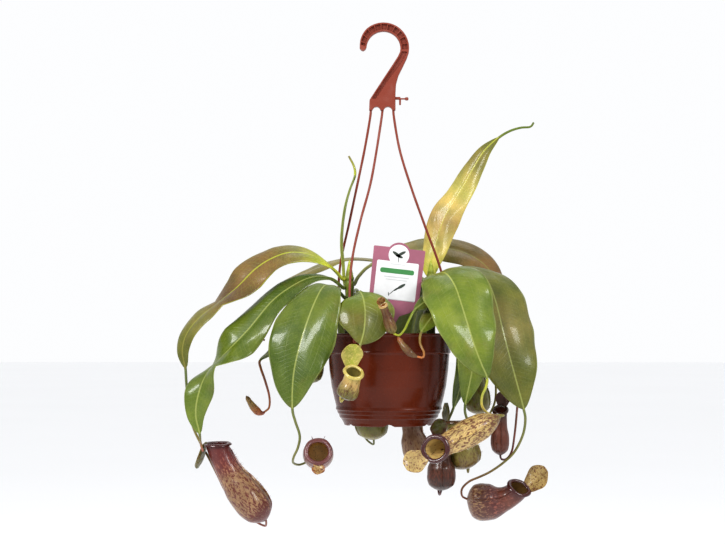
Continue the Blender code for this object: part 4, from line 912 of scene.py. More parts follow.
def make_hanger(finish):
    """The hook, its three legs as round tubes, and at each leg's end a boss, a peg and the peg's head."""
    parts = [hook_part()]
    for points, angle in zip(LEGS, np.radians(CLIP_ANGLES)):
        way, height = round_at(1, angle, 0), np.array([0, 0, CLIP_Z])
        foot = way * (POT_RIM_R + LEG_R + 0.9) + height
        top = np.array(points[0]) + (0, 0, 2.0)
        line = smooth_line([top, *points, foot + (0, 0, 10), foot, foot - (0, 0, 1.5)], 10)
        run = np.linspace(0, 1, len(line))
        parts.append(tube(line, LEG_R * (1 + 0.03 * np.sin(90 * run) + 0.35 * (1 - ease(run, 0, 0.03)))))
        hub, head = way * (POT_RIM_R + 0.2) + height, way * (POT_RIM_R - POT_WALL - 0.9) + height
        parts.append(turned_pin(hub, way, [(0, 2.4), (0.2, 2.6), (2.3, 2.6), (2.6, 2.3), (2.7, 1.2)]))
        parts.append(turned_pin(hub, -way, [(-1.0, 2.0), (4.4, 2.0)]))
        parts.append(turned_pin(head, -way, [(0, 2.8), (0.4, 3.1), (1.6, 3.0), (2.3, 2.2), (2.5, 1.0)]))
    # The boss at the foot of the shank, and its bent peg with a round end.
    parts.append(turned_pin((7, 0, 373), (1, 0, 0), [(-2, 1.6), (6.2, 1.7), (6.5, 1.4)]))
    parts.append(turned_pin((12.5, 0, 372.4), (1, 0, 0), [(0, 0.9), (8, 0.9)], 12))
    parts.append(turned_pin((13, 0, 365.2), UP, [(0, 0.7), (0.4, 1.1), (7.8, 1.2)], 12))
    parts.append(turned_pin((20.6, 0, 370.6), UP, [(0, 1.2), (0.4, 1.9), (1.8, 2.2), (3.2, 1.9), (3.6, 1.2)]))
    make_piece("hook_and_legs", parts, [finish], ["hanger"], sharp=40)


def soil_height(x, y):
    """The soil's top: a low dome with lumps in two sizes, drawn down a little to the pot's wall."""
    dome = SOIL_TOP + 1.6 - 3.2 * (np.hypot(x, y) / 66) ** 2
    return dome + 1.3 * lumps(x / 11, y / 11, 5) + 0.55 * lumps(x / 3.2, y / 3.2, 9)


def make_soil(finish, bark):
    """A plug of peat: its top a polar grid lifted by soil_height, with crumbs of peat, bark and pale grit."""
    turn = circle(SOIL_SIDES)
    top = round_at(np.linspace(0.4, SOIL_R, SOIL_RINGS)[:, None], turn, 0.0)
    top[..., 2] = soil_height(top[..., 0], top[..., 1])
    low = FLOOR_Z + 0.3
    walls = [round_at(radius, turn, z)
             for radius, z in ((66.6, 84), (65.3, 62), (62.9, 44), (57.1, 21), (49.2, low), (0.4, low))]
    parts = [shell(np.concatenate([top, walls]))]
    rng = np.random.default_rng(21)
    # A crumb is an eight-sided solid: its corners, its faces, and then each kind's count, least and greatest
    # size, flatness, slot and colour.
    solid = np.array([(1, 0, 0), (-1, 0, 0), (0, 1, 0), (0, -1, 0), (0, 0, 1), (0, 0, -1)], float)
    faces = [(0, 2, 4), (2, 1, 4), (1, 3, 4), (3, 0, 4), (2, 0, 5), (1, 2, 5), (3, 1, 5), (0, 3, 5)]
    for count, least, most, flat, slot, shade in ((900, 0.6, 1.7, 0.7, 0, (0.03, 0.018, 0.01, 1)),
                                                  (260, 1.2, 3.6, 0.35, 1, (0.10, 0.05, 0.025, 1)),
                                                  (150, 0.5, 1.3, 0.9, 1, (0.62, 0.58, 0.5, 1))):
        place = rng.uniform(0, 1, (count, 2))
        centre = round_at(65 * np.sqrt(place[:, 0]), 2 * np.pi * place[:, 1], 0.0)
        centre[:, 2] = soil_height(centre[:, 0], centre[:, 1]) + 0.3
        reach = rng.uniform(least, most, (count, 1, 1)) * rng.uniform(0.6, 1.3, (count, 6, 1))
        x, y, z = np.moveaxis(solid * reach * (1, 0.7, flat), -1, 0)
        spin = rng.uniform(0, 2 * np.pi, count)
        c, s = np.cos(spin)[:, None], np.sin(spin)[:, None]
        crumbs = centre[:, None] + stacked(x * c - y * s, x * s + y * c, z + 0.25 * x)
        parts.append(scraps(crumbs, faces, slot, tint=shade * np.append(rng.uniform(0.7, 1.3), [1, 1, 1])))
    make_piece("peat_top", parts, [finish, bark], ["soil"])


def make_moss(size, finish):
    """Cushions of moss: each sprig a thin curved cone, rooted by seeded random draws."""
    rng = np.random.default_rng(33)
    centres = np.array([(-30, -44), (-52, -24), (-58, 18), (-16, 50), (22, 46), (52, 30), (58, -14),
                        (36, -46), (6, -56), (-8, 14), (20, 8)], float)
    count = int(size.moss_sprigs)
    pick = rng.integers(0, len(centres), count)
    strayed = rng.normal(0, 1, (count, 2)) * rng.uniform(3.5, 8.0, len(centres))[pick][:, None]
    root = centres[pick] + strayed
    keep = np.hypot(root[:, 0], root[:, 1]) < 64
    (x, y), strayed = root[keep].T, strayed[keep]
    count = len(x)
    base = stacked(x, y, soil_height(x, y) - 0.3)
    tall = rng.uniform(0.6, 1.3, count) * size.moss_height / MM * np.exp(-np.sum(strayed**2, 1) / 160)
    tall = tall[:, None]
    turn = rng.uniform(0, 2 * np.pi, count)
    lean = round_at(1, turn, 0) * rng.uniform(0.1, 0.7, (count, 1))
    side = stacked(-np.sin(turn), np.cos(turn), 0)
    wide = rng.uniform(0.28, 0.5, (count, 1))
    out = np.cross(side, UP)
    middle, tip = base + (UP + lean * 0.5) * tall * 0.55, base + (np.array(UP) * 0.9 + lean * 1.3) * tall
    points = np.stack([base - side * wide * 0.5, base + side * wide * 0.5, base - out * wide * 0.5,
                       middle - side * wide, middle + side * wide, middle - out * wide * 0.6, tip], axis=1)
    fresh = rng.uniform(0, 1, (count, 1)) + np.array([-0.2, -0.2, -0.2, 0, 0, 0, 0.35])
    tint = tint_at("deep_green fresh lime", fresh.clip(0, 1))
    make_piece("moss_cushions", [scraps(points, CONE_FACES, tint=tint)], [finish])


def on_tag(flat, y):
    """Points of the card's own plane, tilted about its foot and set at depth y."""
    c, s = math.cos(TAG_TILT), math.sin(TAG_TILT)
    x, z = flat[..., 0], flat[..., 1] - TAG_PIVOT_Z
    return stacked(c * x + s * z + TAG_CENTRE_X, y, -s * x + c * z + TAG_PIVOT_Z)


def tag_plate(edges, low_y, high_y, soft=0.0, **fields):
    """A thin plate between two edge lines that run from top to bottom, with its corners taken off by soft."""
    v = np.array([0, 0.006, 0.1, 0.3, 0.5, 0.7, 0.9, 0.994, 1])[:, None]
    left, right = edges
    flat = left[:, None] * (1 - v) + right[:, None] * v
    soft = soft * np.array([1, 0, 0, 0, 0, 0, 0, 0, 1])
    return shell(two_sided(on_tag(flat, low_y + soft), on_tag(flat, high_y - soft)), **fields)


def disc(centre, radii, angle=0.0):
    """Left and right edge lines of an oval, from its top to its bottom, turned by an angle."""
    t = np.linspace(0.02, np.pi - 0.02, 40)
    c, s = math.cos(angle), math.sin(angle)
    z = radii[1] * np.cos(t)
    return [stacked(centre[0] + c * x - s * z, centre[1] + s * x + c * z)
            for x in (-radii[0] * np.sin(t), radii[0] * np.sin(t))]


def bar(low, high, corner=0.8):
    """Left and right edge lines of a plain bar with rounded corners."""
    z = np.linspace(high[1], low[1], 30)
    near = np.minimum(high[1] - z, z - low[1]).clip(0, corner)
    inset = corner - np.sqrt(corner**2 - (corner - near)**2)
    return stacked(low[0] + inset, z), stacked(high[0] - inset, z)


def make_label(card, print_finish):
    """The label: a card with a low round hump and a stake, and flat print in thin layers on its face.

    The card is ruled between its left and right edge at each height; the hump's edge is a circle.
    """
    turn = np.radians(np.linspace(2, 56, 18))
    hump = stacked(TAG_HEAD_R * np.sin(turn), TAG_HIGH - 7.5 + TAG_HEAD_R * np.cos(turn))
    low = softened([(TAG_HALF, TAG_HIGH - 0.8), (TAG_HALF - 0.2, 190), (TAG_HALF - 1, TAG_LOW), (27, 136.6),
                    (19, 129), (8, 124), (4.6, 116), (4.2, 70), (0.4, 58)], 0.7, 1)
    edge = np.vstack([hump, (TAG_HALF - 0.6, TAG_HIGH - 0.1), low])
    face = TAG_Y - TAG_THICK / 2
    plate = tag_plate((edge * (-1, 1), edge), face, TAG_Y + TAG_THICK / 2, 0.12)
    make_piece("label_card", [plate], [card], ["label_tag"], sharp=40)

    white, ink, green, grey = (0.50, 0.50, 0.50), (0.03, 0.04, 0.03), (0.04, 0.16, 0.05), (0.35, 0.36, 0.36)
    marks = [(bar((-23.5, 141.5), (23.5, 184.5), 1.0), white, 1), (disc((0, 192.0), (11.6, 11.6)), white, 2),
             (bar((-19, 171.0), (19, 176.5), 2.2), green, 3), (bar((-14, 166.4), (14, 167.6), 0.5), grey, 3),
             (bar((-12, 163.6), (12, 164.4), 0.4), grey, 3), (bar((-8, 181.0), (8, 181.8), 0.4), grey, 3),
             (disc((6.5, 157.5), (1.6, 5.2), -0.95), ink, 3), (disc((1.2, 153.8), (1.0, 3.4), -0.9), ink, 3),
             (disc((-3.4, 150.0), (0.4, 4.6), -0.75), ink, 3), (disc((-6.8, 147.6), (0.5, 2.2), 0.2), ink, 3),
             (disc((-2.6, 192.6), (1.7, 5.4), 1.05), ink, 4), (disc((2.9, 194.0), (1.6, 5.0), -1.0), ink, 4),
             (disc((0.4, 190.6), (1.5, 4.4), 1.3), ink, 4), (disc((0, 187.0), (0.35, 3.4), 0.12), ink, 4)]
    prints = [tag_plate(edges, face - PRINT_LAYER * layer, face + 0.1, tint=(*colour, 1.0))
              for edges, colour, layer in marks]
    make_piece("label_print", prints, [print_finish])


# ---- Shoots and leaves ----

def make_stem(side, size, finish):
    """A soft shoot: a tube that swells at each leaf's foot and is drawn to a point, with short hairs."""
    x, y = STEMS[side]
    low, top = STEM_FOOT_Z, STEM_TOP_Z
    z = np.linspace(low, top + 18, 150)
    radius = np.interp(z, [low, low + 3, top - 2, top + 6, top + 16, top + 18],
                       [3.4, STEM_R, STEM_R - 0.2, 3.2, 1.0, 0.3])
    for leaf in LEAVES.values():
        if leaf["stem"] == side:
            over = z - leaf["height"]
            radius = radius + 0.5 * np.exp(-(over / 2.4) ** 2) - 0.25 * np.exp(-((over - 4) / 1.2) ** 2)
    turn = circle(28)
    rough = 0.025 * np.sin(7 * turn) + 0.02 * lumps(z[:, None] / 6, 3 * np.cos(turn)[None], 3)
    rings = round_at(radius[:, None] * (1 + rough), turn, z[:, None]) + (x, y, 0)
    tint = tint_at("brown brown olive olive fresh lime", (z[:, None] - low) / (z[-1] - low))
    rng = np.random.default_rng(7)
    count = int(size.stem_hairs)
    height, turn = rng.uniform(92, top + 4, count), rng.uniform(0, 2 * np.pi, count)
    out = round_at(1, turn, 0)
    roots = out * (np.interp(height, z, radius) - 0.15)[:, None] + stacked(x, y, height)
    ways = out + stacked(0, 0, rng.uniform(-0.2, 0.8, count))
    lengths = rng.uniform(0.7, 1.0, count) * size.hair_length / MM
    hairs = hair_cones(roots, ways, lengths, 0.09, tint_at("bronze", 0))
    make_piece(f"shoot_{side}", [shell(rings, tint=tint), hairs], [finish], [f"stem_{side}"])


def leaf_lines(leaf, samples=24):
    """The midrib from inside the stem's surface to the blade's tip, and the tendril on from there."""
    axis = np.array([*STEMS[leaf["stem"]], leaf["height"]])
    out = unit((leaf["midrib"][0] - axis) * (1, 1, 0))
    foot = axis + out * (STEM_R + 0.3)
    midrib = [foot, foot + out * 3.5, *leaf["midrib"]]
    whole = smooth_line([*midrib, *leaf["tendril"]], samples)
    split = (len(midrib) - 1) * samples
    return whole[: split + 1], whole[split:]


def half_width(t, leaf):
    """Half the blade's width at a share of its length: a narrow stalk, then an oval, sin(pi u) to 0.75."""
    stalk, blade = leaf["stalk"], 1 - leaf["stalk"]
    power = math.log(0.5) / math.log((leaf["widest"] - stalk) / blade)
    u = np.clip((t - stalk) / blade, 0, 1) ** power
    base = PETIOLE_R + (RIB_R - PETIOLE_R) * t
    return base + (leaf["width"] / 2 - base) * np.maximum(np.sin(math.pi * u), 0) ** 0.75


def skin_between(centres, sides, normals, x, upper, lower):
    """A flat skin's two sides: points set off from their centres, across by x and up by upper or lower."""
    middle = centres + sides * x[..., None]
    return two_sided(middle + normals * upper[..., None], middle + normals * lower[..., None])


def make_leaf(name, size, finish):
    """A leaf with its stalk and tendril in one skin.

    At each place v runs across from -1 to 1. The blade's height over its midrib is
    half (0.3 |v| - 0.35 v v) + ripple v |v| plus fine waves in the margin, and the rib is a half circle
    below it. Where the blade narrows, the section turns into the tendril's full circle.
    """
    leaf = LEAVES[name]
    slot, blade_colours, rib_colours, tendril_colours = LEAF_LOOKS[name]
    midrib, tendril = leaf_lines(leaf)
    blade_length, tendril_length = run_of(midrib)[-1], run_of(tendril)[-1]
    t = np.linspace(0, 1, int(np.clip(blade_length / BLADE_STEP, 50, 130)))
    hints = read_at(t, np.linspace(0, 1, len(leaf["faces"])), unit(leaf["faces"]))
    points, tangents = along(midrib, t)
    normals, sides = square_to(tangents, hints)
    more = np.linspace(0, 1, int(np.clip(tendril_length / TENDRIL_STEP, 14, 120)))[1:]
    more_points, more_tangents = along(tendril, more)
    more_normals, more_sides = carried(more_tangents, normals[-1])

    # From here places run down a column, and the blade's points across a row.
    t, more = t[:, None], more[:, None]
    w = np.linspace(-1, 1, int(size.blade_columns) | 1)
    v_round = np.sin(np.pi / 2 * w)
    half = half_width(t, leaf)
    rib = PETIOLE_R + (RIB_R - PETIOLE_R) * t
    roundness = ease(1 - (half - rib) / (2.2 * rib))
    flatness = 1 - roundness
    v = np.sign(w) * np.abs(w) ** 1.35 * flatness + v_round * roundness
    seed = sum(map(ord, name))
    phase = seed % 7
    swell = leaf["wave"] * np.sin(np.pi * t)
    frill = 0.36 * swell * np.abs(v) ** 3 * np.sin(23 * t + phase + 1.7 * np.sign(v))
    hills = lumps(t * blade_length / 24, v * half / 16 + phase, seed, 2)
    frill = frill + 2.0 * np.abs(v) ** 1.5 * np.minimum(half / 25, 1) * hills * flatness
    ripple = swell * np.sin(4 * np.pi * t)
    lift = half * (0.3 * np.abs(v) - 0.35 * v * v) * flatness + ripple * v * np.abs(v) + frill
    x = v * half * (1 + 0.018 * np.sin(31 * t + phase + np.sign(v)) * flatness)
    plate = BLADE_THICK / 2 * (1 - 0.5 * v**4) * flatness
    cord = np.sqrt(np.maximum(rib**2 - x**2, 0))
    above = np.maximum(plate + (0.22 + 0.78 * roundness) * cord, LEAST_HALF_THICK)
    below = np.maximum(plate + cord * 0.85, LEAST_HALF_THICK)
    blade = skin_between(points[:, None], sides[:, None], normals[:, None], x, lift + above, lift - below)
    thick = RIB_R + (TENDRIL_R - RIB_R) * more
    x_cord = v_round * thick
    cord = np.maximum(np.sqrt(np.maximum(thick**2 - x_cord**2, 0)), LEAST_HALF_THICK)
    frames = (rows[:, None] for rows in (more_points, more_sides, more_normals))
    rings = np.concatenate([blade, skin_between(*frames, x_cord, cord, -cord)])
    # The foot goes into the shoot, and the tendril's end into the pitcher.
    rings[0] -= tangents[0] * 1.6
    if name in {cup["leaf"] for cup in [*PITCHERS.values(), *BUDS.values()]}:
        rings[-1] += more_tangents[-1] * 1.0

    on_cord = np.broadcast_to(blade_length + more * tendril_length, (len(more), 2 * len(w)))
    places = np.concatenate([stacked(two_sided(x, x), t * blade_length, np.maximum(half, 3.2)),
                             stacked(2.4, on_cord, 6.0)])
    face = np.ones(rings.shape[:2])
    face[:len(t), len(w):] = -1
    tint, rib_tint = (np.concatenate([tint_at(colours, t), tint_at(tendril_colours, more)])
                      for colours in (blade_colours, rib_colours))
    body = shell(rings, blade=places, face=face, tint=tint, rib=rib_tint)
    make_piece(name + "_blade", [body], [finish[slot]], [name])


# ---- Pitchers, lids and buds ----

def pitcher_line(pitcher):
    """The cup's centre line: a cubic Bezier curve from the tendril's end, round its bend, to the mouth."""
    line = leaf_lines(LEAVES[pitcher["leaf"]])[1]
    start = unit(line[-1] - line[-2])
    foot = line[-1] + start * 0.3
    mouth = np.asarray(pitcher["mouth"], float)
    t = np.linspace(0, 1, 80)[:, None]
    first, second = foot + start * pitcher["bend"][0], mouth - unit(pitcher["out"]) * pitcher["bend"][1]
    return (1 - t)**3 * foot + 3 * (1 - t)**2 * t * first + 3 * (1 - t) * t**2 * second + t**3 * mouth


# Places along a cup, and for each shape the share there of the greatest radius, and that of the mouth's. A
# bud's have only the first.
CUP_PLACES = np.array([0.0, 0.05, 0.13, 0.27, 0.44, 0.62, 0.8, 1.0])
CUP_SHAPES = {
    "round": ((0.0, 0.55, 0.88, 1.0, 0.95, 0.42, 0.15, 0.0), (0, 0, 0, 0, 0, 0.5, 0.8, 1.0)),
    "tapered": ((0.0, 0.34, 0.64, 0.92, 1.0, 0.7, 0.2, 0.0), (0, 0, 0, 0, 0, 0.26, 0.7, 1.0)),
}
CUP_FOOT_R = 1.4
BUD_PLACES = np.array([0, 0.12, 0.3, 0.5, 0.7, 0.88, 1.0])
BUD_SHAPE = np.array([0, 0.6, 1, 0.95, 0.75, 0.6, 0.12])
BUD_FOOT_R = 1.2


def smooth_values(x, places, values):
    """A smooth curve through values at places: cubics with harmonic mean slopes, so it never overshoots."""
    gaps, rises = np.diff(places), np.diff(values)
    slopes = rises / gaps
    before, after = slopes[:-1], slopes[1:]
    inner = np.where(before * after > 0, 2 * before * after / (before + after + 1e-12), 0)
    ends = np.concatenate([[1.5 * slopes[0] - 0.5 * inner[0]], inner, [1.5 * slopes[-1] - 0.5 * inner[-1]]])
    k = np.clip(np.searchsorted(places, x, side="right") - 1, 0, len(gaps) - 1)
    h = (x - places[k]) / gaps[k]
    return ((1 + 2 * h) * (1 - h)**2 * values[k] + h * (1 - h)**2 * gaps[k] * ends[k]
            + h * h * (3 - 2 * h) * values[k + 1] + h * h * (h - 1) * gaps[k] * ends[k + 1])


def cup_radius(s, pitcher):
    """Radius at a share of the cup's length: a small foot, a full belly, a waist and a mouth."""
    belly, mouth = np.array(CUP_SHAPES[pitcher["shape"]])
    sizes = belly * pitcher["radius"] + mouth * pitcher["mouth_r"]
    sizes[0] = CUP_FOOT_R
    return smooth_values(s, CUP_PLACES, sizes)


def cup_frames(pitcher, s):
    """Centre, tangent and front at shares of the length. Below the belly the rings stay parallel."""
    line = pitcher_line(pitcher)
    points, _ = along(line, s)
    _, tangents = along(line, np.maximum(s, CUP_PLACES[3]))
    normals, sides = square_to(tangents, unit(pitcher["front"]))
    return points, tangents, normals, sides


def round_cup(frames, radius, angles, slant):
    """Points round the centre: r (front cos a + side sin a) - tangent slant r cos a, higher at the back."""
    points, tangents, normals, sides = (f[:, None] for f in frames)
    c, s = np.cos(angles)[:, None], np.sin(angles)[:, None]
    r = radius[..., None]
    return points + r * (normals * c + sides * s) - tangents * np.reshape(slant, (-1, 1, 1)) * r * c


def lip_ring(ends, m, size, colour, seed):
    """The lip: an arched section carried round the mouth, with ribs that rise by a cosine of the angle."""
    a, t = circle(LIP_SECTIONS, 0)[:, None], circle(LIP_SIDES)
    # Across the lip, w runs from -1 inside to 1 outside; the arch falls away on both sides.
    w, thick = np.cos(t), np.sin(t)
    ribs = 0.5 + 0.5 * np.cos(a * int(size.lip_ribs))
    reach = 1.05 * m + 0.2 * m * w - 0.03 * m * (ribs * (w < -0.7))
    reach = (reach * (1 + 0.012 * np.sin(5 * a + seed)))[..., None]
    arch = 1.15 - 1.3 * np.abs(w)**2.2 * np.where(w > 0, 1.15, 0.75)
    rise = arch + thick * (0.75 + 0.16 * ribs * (thick > 0))
    rise = (rise + 0.25 * np.sin(3 * a + seed))[..., None]
    centre, axis, front, side = ends
    c, s = np.cos(a)[..., None], np.sin(a)[..., None]
    rings = centre + reach * (front * c + side * s) + axis * (rise - LIP_SLANT * reach * c)
    return shell(rings, capped=False, slot=1, tint=tint_at(colour, 0), ribs=ribs)


def lid_parts(pitcher, ends, colours, seed, rows):
    """The lid and its spur.

    Half the lid's width is a power 0.6 of a sine along it. Across it the skin falls by 0.18 half v v, along
    it it is domed by a sine, and its base is drawn back on both sides like a heart.
    """
    skin, rim, spot = colours.split()
    centre, axis, front, side = ends
    m = pitcher["mouth_r"]
    hinge = centre - front * m * 1.05 + axis * (LIP_SLANT * m + 0.4)
    angle = math.radians(pitcher["lid"])
    reach = front * math.cos(angle) + axis * math.sin(angle)
    face = -front * math.sin(angle) + axis * math.cos(angle)
    length = 2.3 * m * pitcher["lid_size"]
    t = (0.5 - 0.5 * np.cos(np.pi * np.linspace(0, 1, rows)))[:, None]
    half = 1.3 + (length / 2 - 1.3) * np.sin(np.pi * np.clip((t - 0.05) / 0.98, 0, 1)) ** 0.6
    half[-1] = 0.5
    v = np.sin(np.pi / 2 * np.linspace(-1, 1, LID_COLUMNS))[None]
    wave = 0.05 * m * np.sin(3 * np.pi * t + seed) * v**2 * np.sign(v)
    lift = -0.18 * half * v * v + wave + 0.06 * m * lumps(t * 4, 2 * v, seed, 2)
    lift = lift + (0.05 * m * np.exp(-(v / 0.12) ** 2) + 0.12 * m) * np.sin(np.pi * t)
    back = -0.16 * length * v**2 * (1 - t) ** 2 * np.sin(np.pi * np.minimum(1, 3 * t + 0.1))
    middle = hinge + reach * (length * t - 0.5 + back)[..., None]
    thick = 0.18 + 0.42 * np.sqrt(np.maximum(1 - v**4, 0)) + 0.35 * (1 - ease(t, 0, 0.15))
    x = v * half
    rings = skin_between(middle, side, face, x, lift + thick, lift - thick)
    rings[0] -= reach * 0.8
    x = two_sided(x, x)
    edge = (np.abs(x) / half) ** 3 + 0.25 * np.sin(5 * t + seed)
    tint = tint_at(f"{skin} {rim}", np.clip(edge, 0, 1))
    tint[:, LID_COLUMNS:, :3] *= 0.75
    fleck = tint_at(spot, 0, 0.46)
    lid = shell(rings, tint=tint, fleck=fleck, cup=stacked(x * 0.8, length * t, seed % 40))
    start = hinge - front * 0.4
    line = smooth_line([start - front * back * m - axis * low * m
                        for back, low in ((0, 0), (0.18, 0.1), (0.42, 0.05))])
    radius = 0.75 - 0.6 * np.linspace(0, 1, len(line))
    return [lid, tube(line, radius, 8, tint=tint_at(rim, 0), fleck=fleck, cup=np.zeros(3))]


def make_pitcher(name, size, finish):
    """A pitcher: a hollow cup with two fringed wings, a ribbed lip rolled outwards, and a lid with a spur."""
    pitcher = PITCHERS[name]
    slot, colours, flecks, cover, lip_colour, inside_colour, lid_colours = CUP_LOOKS[name]
    seed = sum(map(ord, name))
    outer_rows, inner_rows, lid_rows = (68, 28, 46) if pitcher["grain"] == "fine" else (50, 20, 34)
    m = pitcher["mouth_r"]
    length = run_of(pitcher_line(pitcher))[-1]
    front = np.concatenate([np.linspace(2, 14, 5), np.linspace(16, 24, 9), np.linspace(28, 178, 30)])
    angles = np.radians(np.concatenate([front, 360 - front[::-1]]))

    s = np.linspace(0, 1, outer_rows) ** 1.15
    wing = 0.13 * pitcher["radius"] * np.sin(np.pi * np.clip((s - 0.05) / 0.9, 0, 1)) ** 0.5
    apart = np.degrees(np.minimum(angles, 2 * np.pi - angles)) - WING_ANGLE
    ridge = np.exp(-(apart / 1.9) ** 2) * wing[:, None]
    uneven = 0.32 * lumps(s[:, None] * length / 9, 3 + 2.2 * np.cos(angles)[None], seed, 2)
    uneven = uneven + 0.22 * lumps(s[:, None] * length / 7, 9 + 2.2 * np.sin(angles)[None], seed + 5, 2)
    radius = cup_radius(s, pitcher)[:, None]
    shape = radius + ridge + uneven * np.minimum(radius / 8, 1) * np.sin(np.pi * s)[:, None]
    outer = round_cup(cup_frames(pitcher, s), shape, angles, LIP_SLANT * s**3)

    # The inside goes down from the mouth to a closed floor, whose last rings draw together.
    down = np.concatenate([np.linspace(1, 0.2, inner_rows), [0.185, 0.175, 0.168, 0.165]])
    shrink = CUP_WALL * np.maximum(1, 0.44 / down) ** 1.5
    closing = np.concatenate([np.ones(inner_rows), [0.9, 0.7, 0.4, 0.1]])
    hollow = (cup_radius(down, pitcher) - shrink) * closing - (down > 0.99) * 0.05 * m
    hollow = np.tile(np.maximum(hollow, 0.2)[:, None], len(angles))
    inner = round_cup(cup_frames(pitcher, down), hollow, angles, LIP_SLANT * down**3)
    shares = np.concatenate([s, down])[:, None]
    inside = np.arange(len(shares))[:, None, None] >= len(s)
    lining = tint_at(inside_colour, shares)
    # Painted light: the lining is lightened the deeper it goes, to nearly twice its tint near the floor,
    # standing in for light through the thin walls into the shaded hollow.
    lining[..., :3] *= np.interp(shares, (0, 0.75, 1), (1.9, 1.6, 1.05))[..., None]
    tint = np.where(inside, lining, tint_at(colours, shares))
    cover = np.where(inside[..., 0], 0.38, np.interp(shares, np.linspace(0, 1, len(cover)), cover))
    place = round_at(np.concatenate([shape, hollow]), angles, shares * length + seed % 50)
    cup = shell(np.concatenate([outer, inner]), tint=tint, fleck=tint_at(flecks, shares, cover), cup=place)

    ends = [f[-1] for f in cup_frames(pitcher, np.array([0.9, 1.0]))]
    parts = [cup, lip_ring(ends, m, size, lip_colour, seed),
             *lid_parts(pitcher, ends, lid_colours, seed, lid_rows)]
    rng = np.random.default_rng(seed)
    count = int(size.fringe_hairs)
    at = np.sort(rng.uniform(0.12, 0.92, count))
    which = np.where(rng.uniform(size=count) < 0.5, 1, -1) * math.radians(WING_ANGLE)
    points, tangents, normals, sides = cup_frames(pitcher, at)
    crest = cup_radius(at, pitcher) + 0.12 * pitcher["radius"] * np.sin(np.pi * (at - 0.05) / 0.9) ** 0.5
    out = normals * np.cos(which)[:, None] + sides * np.sin(which)[:, None]
    roots = (points + out * (crest - 0.2)[:, None]
             - tangents * (LIP_SLANT * at**3 * crest * np.cos(which))[:, None])
    ways = (out + tangents * rng.uniform(-0.5, 0.5, (count, 1))
            + sides * np.sign(which)[:, None] * rng.uniform(0, 0.5, (count, 1)))
    lengths = rng.uniform(0.5, 1.3, count) * size.hair_length / MM * 1.4
    hairs = hair_cones(roots, ways, lengths, 0.11, tint_at(flecks.split()[2], 0), slot=2)
    finishes = [finish[slot], finish["lip"], finish["stem"]]
    make_piece(name + "_cup", [*parts, hairs], finishes, [name], sharp=70)


def make_bud(name, size, finish):
    """A slim closed pitcher: radius through a few sizes by smooth cubics, two low wings, and a sealed lid."""
    bud = BUDS[name]
    slot, colours = BUD_LOOKS[name]
    line = leaf_lines(LEAVES[bud["leaf"]])[1]
    start = unit(line[-1] - line[-2])
    foot, tip = line[-1] + start * 0.3, np.asarray(bud["tip"], float)
    t = np.linspace(0, 1, 60)[:, None]
    bend = foot + start * np.linalg.norm(tip - foot) * 0.35
    curve = (1 - t)**2 * foot + 2 * (1 - t) * t * bend + t**2 * tip
    s = np.linspace(0, 1, 64)
    sizes = BUD_SHAPE * bud["radius"]
    sizes[0] = BUD_FOOT_R
    radius = smooth_values(s, BUD_PLACES, sizes)
    points, tangents = along(curve, s)
    normals, sides = square_to(tangents, np.array([0.1, -0.2, 1.0]))
    angles = circle(40)
    apart = np.degrees(np.abs((angles + np.pi / 2) % (2 * np.pi) - np.pi)) - 22
    seam = 1 - 0.1 * np.exp(-((s - 0.78) / 0.018) ** 2)
    shape = (radius * seam)[:, None] * (1 + 0.12 * np.exp(-(apart / 7) ** 2) * np.sin(np.pi * s)[:, None])
    rings = round_cup((points, tangents, normals, sides), shape, angles, 0)
    places = s[:, None]
    body = shell(rings, tint=tint_at(colours, places), fleck=tint_at("red brown", places, 0.42),
                 cup=round_at(shape, angles, places * 60))
    rng = np.random.default_rng(len(name))
    at, which = rng.uniform(0.1, 0.95, BUD_HAIRS), rng.uniform(0, 2 * np.pi, BUD_HAIRS)[:, None]
    points, tangents, normals, sides = (read_at(at, s, f) for f in (points, tangents, normals, sides))
    out = unit(normals * np.cos(which) + sides * np.sin(which))
    roots = points + out * (np.interp(at, s, radius) * 0.95)[:, None]
    lengths = rng.uniform(0.5, 1.2, BUD_HAIRS) * size.hair_length / MM
    hairs = hair_cones(roots, out + tangents * 0.6, lengths, 0.08, tint_at("khaki", 0), slot=1)
    make_piece(name + "_closed", [body, hairs], [finish[slot], finish["stem"]], [name])


# ---- Stage ----

def placed(name, data, place, aim=None):
    """An object put into the scene at a place, turned to look at a point where one is given."""
    made = bpy.data.objects.new(name, data)
    made.location = place
    if aim is not None:
        made.rotation_euler = (Vector(aim) - Vector(place)).to_track_quat("-Z", "Y").to_euler()
    bpy.context.scene.collection.objects.link(made)
    return made


def add_lamp(name, place, aim, size, power):
    """A square soft lamp that faces a point."""
    lamp = bpy.data.lights.new(name, "AREA")
    lamp.size, lamp.energy = size, power
    return placed(name, lamp, place, aim)


